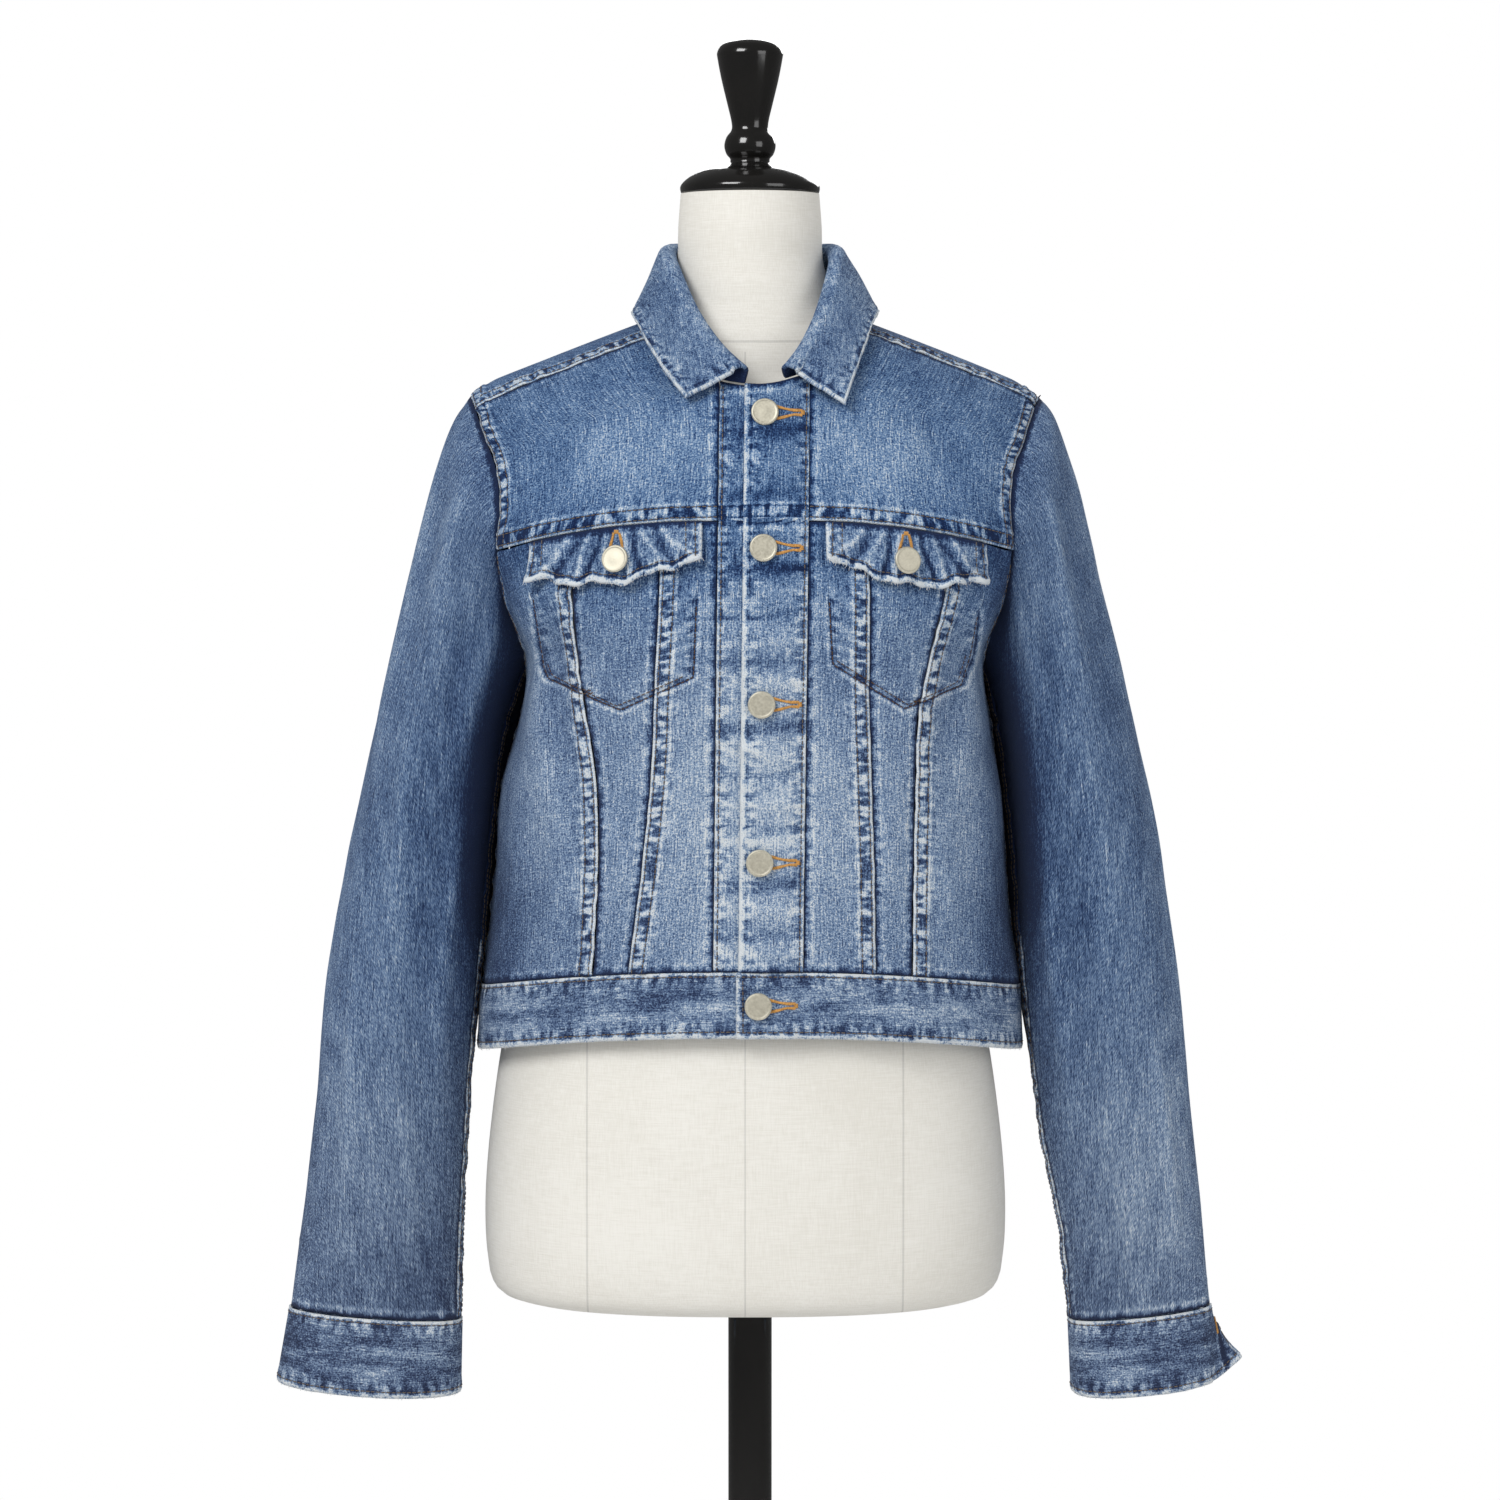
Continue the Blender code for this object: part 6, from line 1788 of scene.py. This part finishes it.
denimStops = (
    (0.00, (0.009, 0.016, 0.052, 1)), (0.22, (0.032, 0.060, 0.152, 1)), (0.42, (0.101, 0.166, 0.305, 1)),
    (0.62, (0.215, 0.310, 0.475, 1)), (0.80, (0.410, 0.505, 0.635, 1)), (1.00, (0.760, 0.790, 0.800, 1)),
)
denim = {"base": 0.405, "grey": 0.24, "slub": 0.74, "yarn": 0.74, "weft": 0.52, "speck": 1.60,
         "wash": 0.44, "fade": 0.62, "bars": 0.74, "deep": 0.62, "wear": 0.66, "ridges": 0.16}


def hump(distance, centre, width):
    off = maths("DIVIDE", maths("SUBTRACT", distance, centre), width)
    return maths("POWER", math.e, times(times(off, off), -1.0))


def weighed(*pairs):
    return total(*(times(value, weight) for value, weight in pairs))


def makeDenim():
    shader = newLook("washedDenim", Roughness=0.88, Specular_IOR_Level=0.2, Sheen_Weight=0.06,
                     Sheen_Roughness=0.5, Sheen_Tint=(0.7, 0.78, 0.9, 1))
    slub = noise(stretchedUv(900, 48), 1.0, 3.0, 0.6)
    yarn = noise(stretchedUv(1500, 190), 1.0, 2.0, 0.5)
    weft = noise(stretchedUv(260, 1500), 1.0, 2.0, 0.5)
    wash = noise(stretchedUv(46, 30), 1.0, 5.0, 0.62)
    speck = noise(stretchedUv(950, 800), 1.0, 2.0, 0.7)
    torn = noise(stretchedUv(520, 520), 1.0, 3.0, 0.7)
    marks = [attribute(name) for name in sheetMarks]
    fell, fold, tuck, pocket, sideways, crumple, wear, deep, fade, grey = marks
    ridges = level(noise(stretchedUv(800, 26), 1.0, 2.0, 0.5), 0.56, 0.74)
    grain = total(centred(slub, denim["slub"]), centred(yarn, denim["yarn"]),
                  times(ridges, denim["ridges"]),
                  centred(weft, denim["weft"]), centred(speck, denim["speck"]))
    barsUp = level(noise(stretchedUv(95, 230), 1.0, 1.0, 0.5), 0.34, 0.64, -0.50, 0.60)
    barsAcross = level(noise(stretchedUv(200, 75), 1.0, 1.0, 0.5), 0.36, 0.64, -0.60, 0.46)
    fine = level(noise(stretchedUv(240, 170), 1.0, 4.0, 0.7), 0.36, 0.64, -0.55, 0.50)
    barsHere = total(times(barsAcross, sideways),
                     times(barsUp, maths("SUBTRACT", 1.0, sideways)))
    strip = times(level(fell, 0.0010, 0.0028), level(fell, 0.0088, 0.0102, 1.0, 0.0))
    spill = level(fell, 0.0100, 0.0210, 0.34, 0.0)
    besideFold = times(level(fold, 0.0012, 0.0032), level(fold, 0.0045, 0.0150, 0.62, 0.0))
    besideTuck = level(tuck, 0.0010, 0.0090, 0.45, 0.0)
    besidePocket = times(hump(pocket, 0.0030, 0.0050), 0.50)
    reach = larger(larger(strip, spill), larger(besideFold, besideTuck))
    bars = total(times(barsHere, larger(reach, besidePocket)),
                 times(fine, crumple))
    pale = weighed((hump(fell, 0.0004, 0.0014), 1.05), (hump(fell, 0.0106, 0.0011), 0.46),
                   (hump(fold, 0.0006, 0.0018), 1.15), (hump(tuck, 0.0050, 0.0016), 0.30),
                   (hump(pocket, -0.0023, 0.0011), 0.45), (wear, 1.0))
    rubbed = noise(stretchedUv(90, 90), 1.0, 3.0, 0.6)
    pale = times(maths("MINIMUM", pale, 1.15), level(torn, 0.34, 0.58, 0.50, 1.05))
    pale = times(pale, level(rubbed, 0.36, 0.56, 0.55, 1.0))
    # painted shadow beside lapped edges and along the pocket outline, dark lines along the stitch rows, and the painted
    # shade carried in the deep mark
    dark = weighed((hump(fell, 0.0022, 0.0006), 0.50), (hump(fell, 0.0088, 0.0006), 0.55),
                   (hump(fold, 0.0042, 0.0006), 0.35), (hump(tuck, 0.0, 0.0013), 0.85),
                   (hump(tuck, 0.0, 0.0042), 0.30), (hump(pocket, 0.0, 0.0007), 0.75),
                   (hump(pocket, 0.0022, 0.0006), 0.35), (deep, 1.0))
    tone = total(grain, centred(wash, denim["wash"]), times(bars, denim["bars"]),
                 maths("MULTIPLY_ADD", fade, denim["fade"], denim["base"]),
                 times(pale, denim["wear"]), times(dark, -denim["deep"]))
    saturation = maths("MULTIPLY_ADD", grey, -denim["grey"], 1.08)
    values = {"Hue": 0.498, "Saturation": saturation, "Color": ramp(tone, denimStops)}
    washed = node("ShaderNodeHueSaturation", values)
    plug(washed.outputs["Color"], shader.inputs["Base Color"])
    uv = node("ShaderNodeUVMap", uv_map="UVMap").outputs["UV"]
    twill = node("ShaderNodeMapping", {"Vector": uv, "Rotation": (0, 0, math.radians(62))})
    rib = node("ShaderNodeTexWave", {"Vector": twill.outputs["Vector"], "Scale": 330.0, "Distortion": 1.6,
                                     "Detail": 2.0, "Detail Scale": 1.2}, bands_direction="X").outputs["Fac"]
    relief = weighed((rib, 0.4), (grain, 1.0), (bars, 0.9), (torn, 0.4), (dark, -0.8))
    bumped(shader, relief, 0.7, 0.0008)


def objectPoint(x, y, z):
    place = node("ShaderNodeTexCoord").outputs["Object"]
    return node("ShaderNodeMapping", {"Vector": place, "Scale": (x, y, z)}).outputs["Vector"]


def makeLinen():
    shader = newLook("offWhiteLinen", Roughness=0.9, Specular_IOR_Level=0.2)
    place = node("ShaderNodeTexCoord").outputs["Object"]
    split = node("ShaderNodeSeparateXYZ", {"Vector": place})
    x, y, z = split.outputs
    across = noise(objectPoint(1500, 1500, 90), 1.0, 2.0)
    up = noise(objectPoint(90, 90, 1500), 1.0, 2.0)
    weave = maths("ADD", across, up)
    offCentre = maths("ABSOLUTE", maths("ADD", x, -form["x"]))
    middle = times(maths("LESS_THAN", offCentre, 0.0005), maths("LESS_THAN", z, 1.34))
    princess = maths("LESS_THAN", maths("ABSOLUTE", maths("ADD", offCentre, -0.0985)), 0.0006)
    neckHeight = maths("ADD", 1.3520, times(y, 0.10))
    neck = maths("LESS_THAN", maths("ABSOLUTE", maths("SUBTRACT", z, neckHeight)), 0.0007)
    seam = larger(larger(middle, princess), neck)
    cloud = noise(objectPoint(12, 12, 12), 1.0, 3.0)
    linen, paleLinen = (0.74, 0.715, 0.65, 1), (0.84, 0.82, 0.765, 1)
    base = colourMix(level(maths("ADD", weave, cloud), 1.0, 2.0), linen, paleLinen)
    colour = colourMix(times(seam, 0.32), base, (0.33, 0.32, 0.31, 1))
    plug(colour, shader.inputs["Base Color"])
    relief = maths("SUBTRACT", weave, times(seam, 2.0))
    bumped(shader, relief, 0.35, 0.0004)


def makeThread(name, colour):
    shader = newLook(name, Roughness=0.7, Specular_IOR_Level=0.3)
    spread = noise(objectPoint(900, 900, 900), 1.0, 2.0)
    dark = tuple(c * 0.62 for c in colour[:3]) + (1,)
    plug(colourMix(level(spread, 0.3, 0.7), dark, colour), shader.inputs["Base Color"])


def makeLacquer(name):
    shader = newLook(name, Roughness=0.16, Coat_Weight=0.6, Coat_Roughness=0.06)
    spread = noise(objectPoint(30, 30, 30), 1.0, 3.0)
    plug(colourMix(spread, (0.006, 0.006, 0.006, 1), (0.012, 0.011, 0.010, 1)), shader.inputs["Base Color"])


def makeNickel():
    shader = newLook("paleNickel", Metallic=0.72)
    spread = noise(objectPoint(700, 700, 700), 1.0, 3.0)
    plug(colourMix(spread, (0.52, 0.485, 0.375, 1), (0.88, 0.84, 0.71, 1)), shader.inputs["Base Color"])
    plug(level(spread, 0.2, 0.8, 0.46, 0.60), shader.inputs["Roughness"])
    bumped(shader, spread, 0.15, 0.0002)


def makeCotton():
    shader = newLook("pocketCotton", Roughness=0.9)
    weave = maths("ADD", noise(objectPoint(1500, 1500, 90), 1.0), noise(objectPoint(90, 90, 1500), 1.0))
    colour = colourMix(level(weave, 0.7, 1.3), (0.62, 0.59, 0.52, 1), (0.78, 0.75, 0.68, 1))
    plug(colour, shader.inputs["Base Color"])


slotLooks = {
    "denim": "washedDenim", "pocket_cotton": "pocketCotton", "button_metal": "paleNickel",
    "form_linen": "offWhiteLinen", "black_turned": "blackLacquer", "black_stand": "blackSteel",
}


def finish(piece, slot, *nodes, look=None):
    piece.data.materials.clear()
    piece.data.materials.append(looks[look or slotLooks[slot]])
    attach(piece, "root")
    if nodes:
        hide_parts(*nodes)


makeDenim()
makeLinen()
makeNickel()
makeCotton()
makeLacquer("blackLacquer")
makeLacquer("blackSteel")
for thread, colour in threadColours.items():
    makeThread(thread, colour)

fray = {"radius": 0.00016, "pitch": 0.0014, "short": 0.0007, "long": 0.0024, "seed": 5}


def makeFray():
    chance = np.random.default_rng(fray["seed"])
    for name, edge, size in (
        ("pocket_flap_left", "v1", 1.2), ("pocket_flap_right", "v1", 1.2), ("waistband", "v0", 0.8),
        ("cuff_left", "v1", 0.7), ("cuff_right", "v1", 0.7), ("collar", "v1", 0.5),
    ):
        points, normals = lineAt(sheets[name], edge, 0.0004)
        inner, _ = lineAt(sheets[name], edge, 0.0018)
        arc = np.concatenate([[0], np.cumsum(np.linalg.norm(np.diff(points, axis=0), axis=1))])
        for t in np.arange(0, arc[-1], fray["pitch"]):
            t = t + fray["pitch"] * chance.uniform(-0.5, 0.5)
            start, normal, root = (np.array([np.interp(t, arc, rows[:, c]) for c in range(3)])
                                   for rows in (points, normals, inner))
            out = unit(start - root)
            along = np.cross(normal, out)
            length = size * mix(fray["short"], fray["long"], chance.uniform() ** 3)
            way = out + along * chance.uniform(-0.9, 0.9) + normal * chance.uniform(-0.2, 0.4)
            addStitch("fray", start - out * 0.0004, start + unit(way) * length, normal, fray["radius"], 0.5)


makePocketStitches()
makeFray()
makeCuffButtonhole()
makeButtons()
makeForm()
makeStand()
print("buttons, form and stand made")


# the stitches of a batch become one mesh, its bars laid by the lines above
batchThreads = {"body": "tonalThread", "back": "tonalThread", "sleeve": "tonalThread", "pocket": "tanThread",
                "buttonhole": "orangeThread", "fray": "paleFibre"}
for batch, bars in stitchBatches.items():
    points = np.concatenate([p for p, _ in bars])
    starts = np.cumsum([0] + [len(p) for p, _ in bars])
    faces = [tuple(int(i + start) for i in face) for (_, fs), start in zip(bars, starts) for face in fs]
    mesh = bpy.data.meshes.new("stitches_" + batch)
    mesh.from_pydata(points.tolist(), [], faces)
    mesh.update()
    mesh.shade_smooth()
    piece = bpy.data.objects.new("stitches_" + batch, mesh)
    bpy.context.scene.collection.objects.link(piece)
    finish(piece, "denim", look=batchThreads[batch])
    print("stitches", batch, len(bars), "faces", len(faces))

for s in sheets.values():
    finish(s.object, "denim", s.name)
for name in ("pocket_bag_left", "pocket_bag_right"):
    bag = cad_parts[name]
    for slot in bag.material_slots:
        slot.material = looks["pocketCotton"]
print("materials given")

view = {"distance": 2.9, "eye": 1.267, "aim": 1.0876, "lens": 109.0, "sensor": 36.0}
bpy.ops.object.select_all(action="DESELECT")
bpy.ops.mesh.primitive_cylinder_add(vertices=128, radius=2.2, depth=0.02, location=(0, 0, -0.0101))
floor = bpy.context.active_object
floor.name = "floor"
newLook("paleFloor", Base_Color=(0.86, 0.86, 0.86, 1), Roughness=0.7)
floor.data.materials.append(looks["paleFloor"])

scene = bpy.context.scene
world = bpy.data.worlds.new("studio")
scene.world = world
world.use_nodes = True
backdrop = world.node_tree.nodes["Background"]
backdrop.inputs["Color"].default_value = (1, 1, 1, 1)
shading["tree"] = world.node_tree
rays = node("ShaderNodeLightPath").outputs
glow = maths("MULTIPLY_ADD", rays["Is Glossy Ray"], -0.40, 0.50)
glow = larger(glow, rays["Is Camera Ray"])
plug(glow, backdrop.inputs["Strength"])


def softLight(name, place, aim, size, energy):
    data = bpy.data.lights.new(name, "AREA")
    data.shape = "RECTANGLE"
    data.size, data.size_y = size
    data.energy = energy
    lamp = bpy.data.objects.new(name, data)
    scene.collection.objects.link(lamp)
    lamp.location = place
    lamp.rotation_euler = (Vector(aim) - Vector(place)).to_track_quat("-Z", "Y").to_euler()


softLight("key", (-1.5, -2.2, 2.9), (0, 0, 1.1), (1.4, 1.4), 58)
softLight("fill", (2.2, -2.4, 1.7), (0, 0, 1.1), (1.6, 2.0), 21)
softLight("rim", (0.6, 2.6, 2.4), (0, 0, 1.1), (1.8, 1.2), 24)

data = bpy.data.cameras.new("camera")
data.lens, data.sensor_width = view["lens"], view["sensor"]
camera = bpy.data.objects.new("camera", data)
scene.collection.objects.link(camera)
camera.location = (0, -view["distance"], view["eye"])
camera.rotation_euler = (Vector((0, 0, view["aim"])) - camera.location).to_track_quat("-Z", "Y").to_euler()
scene.camera = camera
scene.view_settings.view_transform = "Standard"
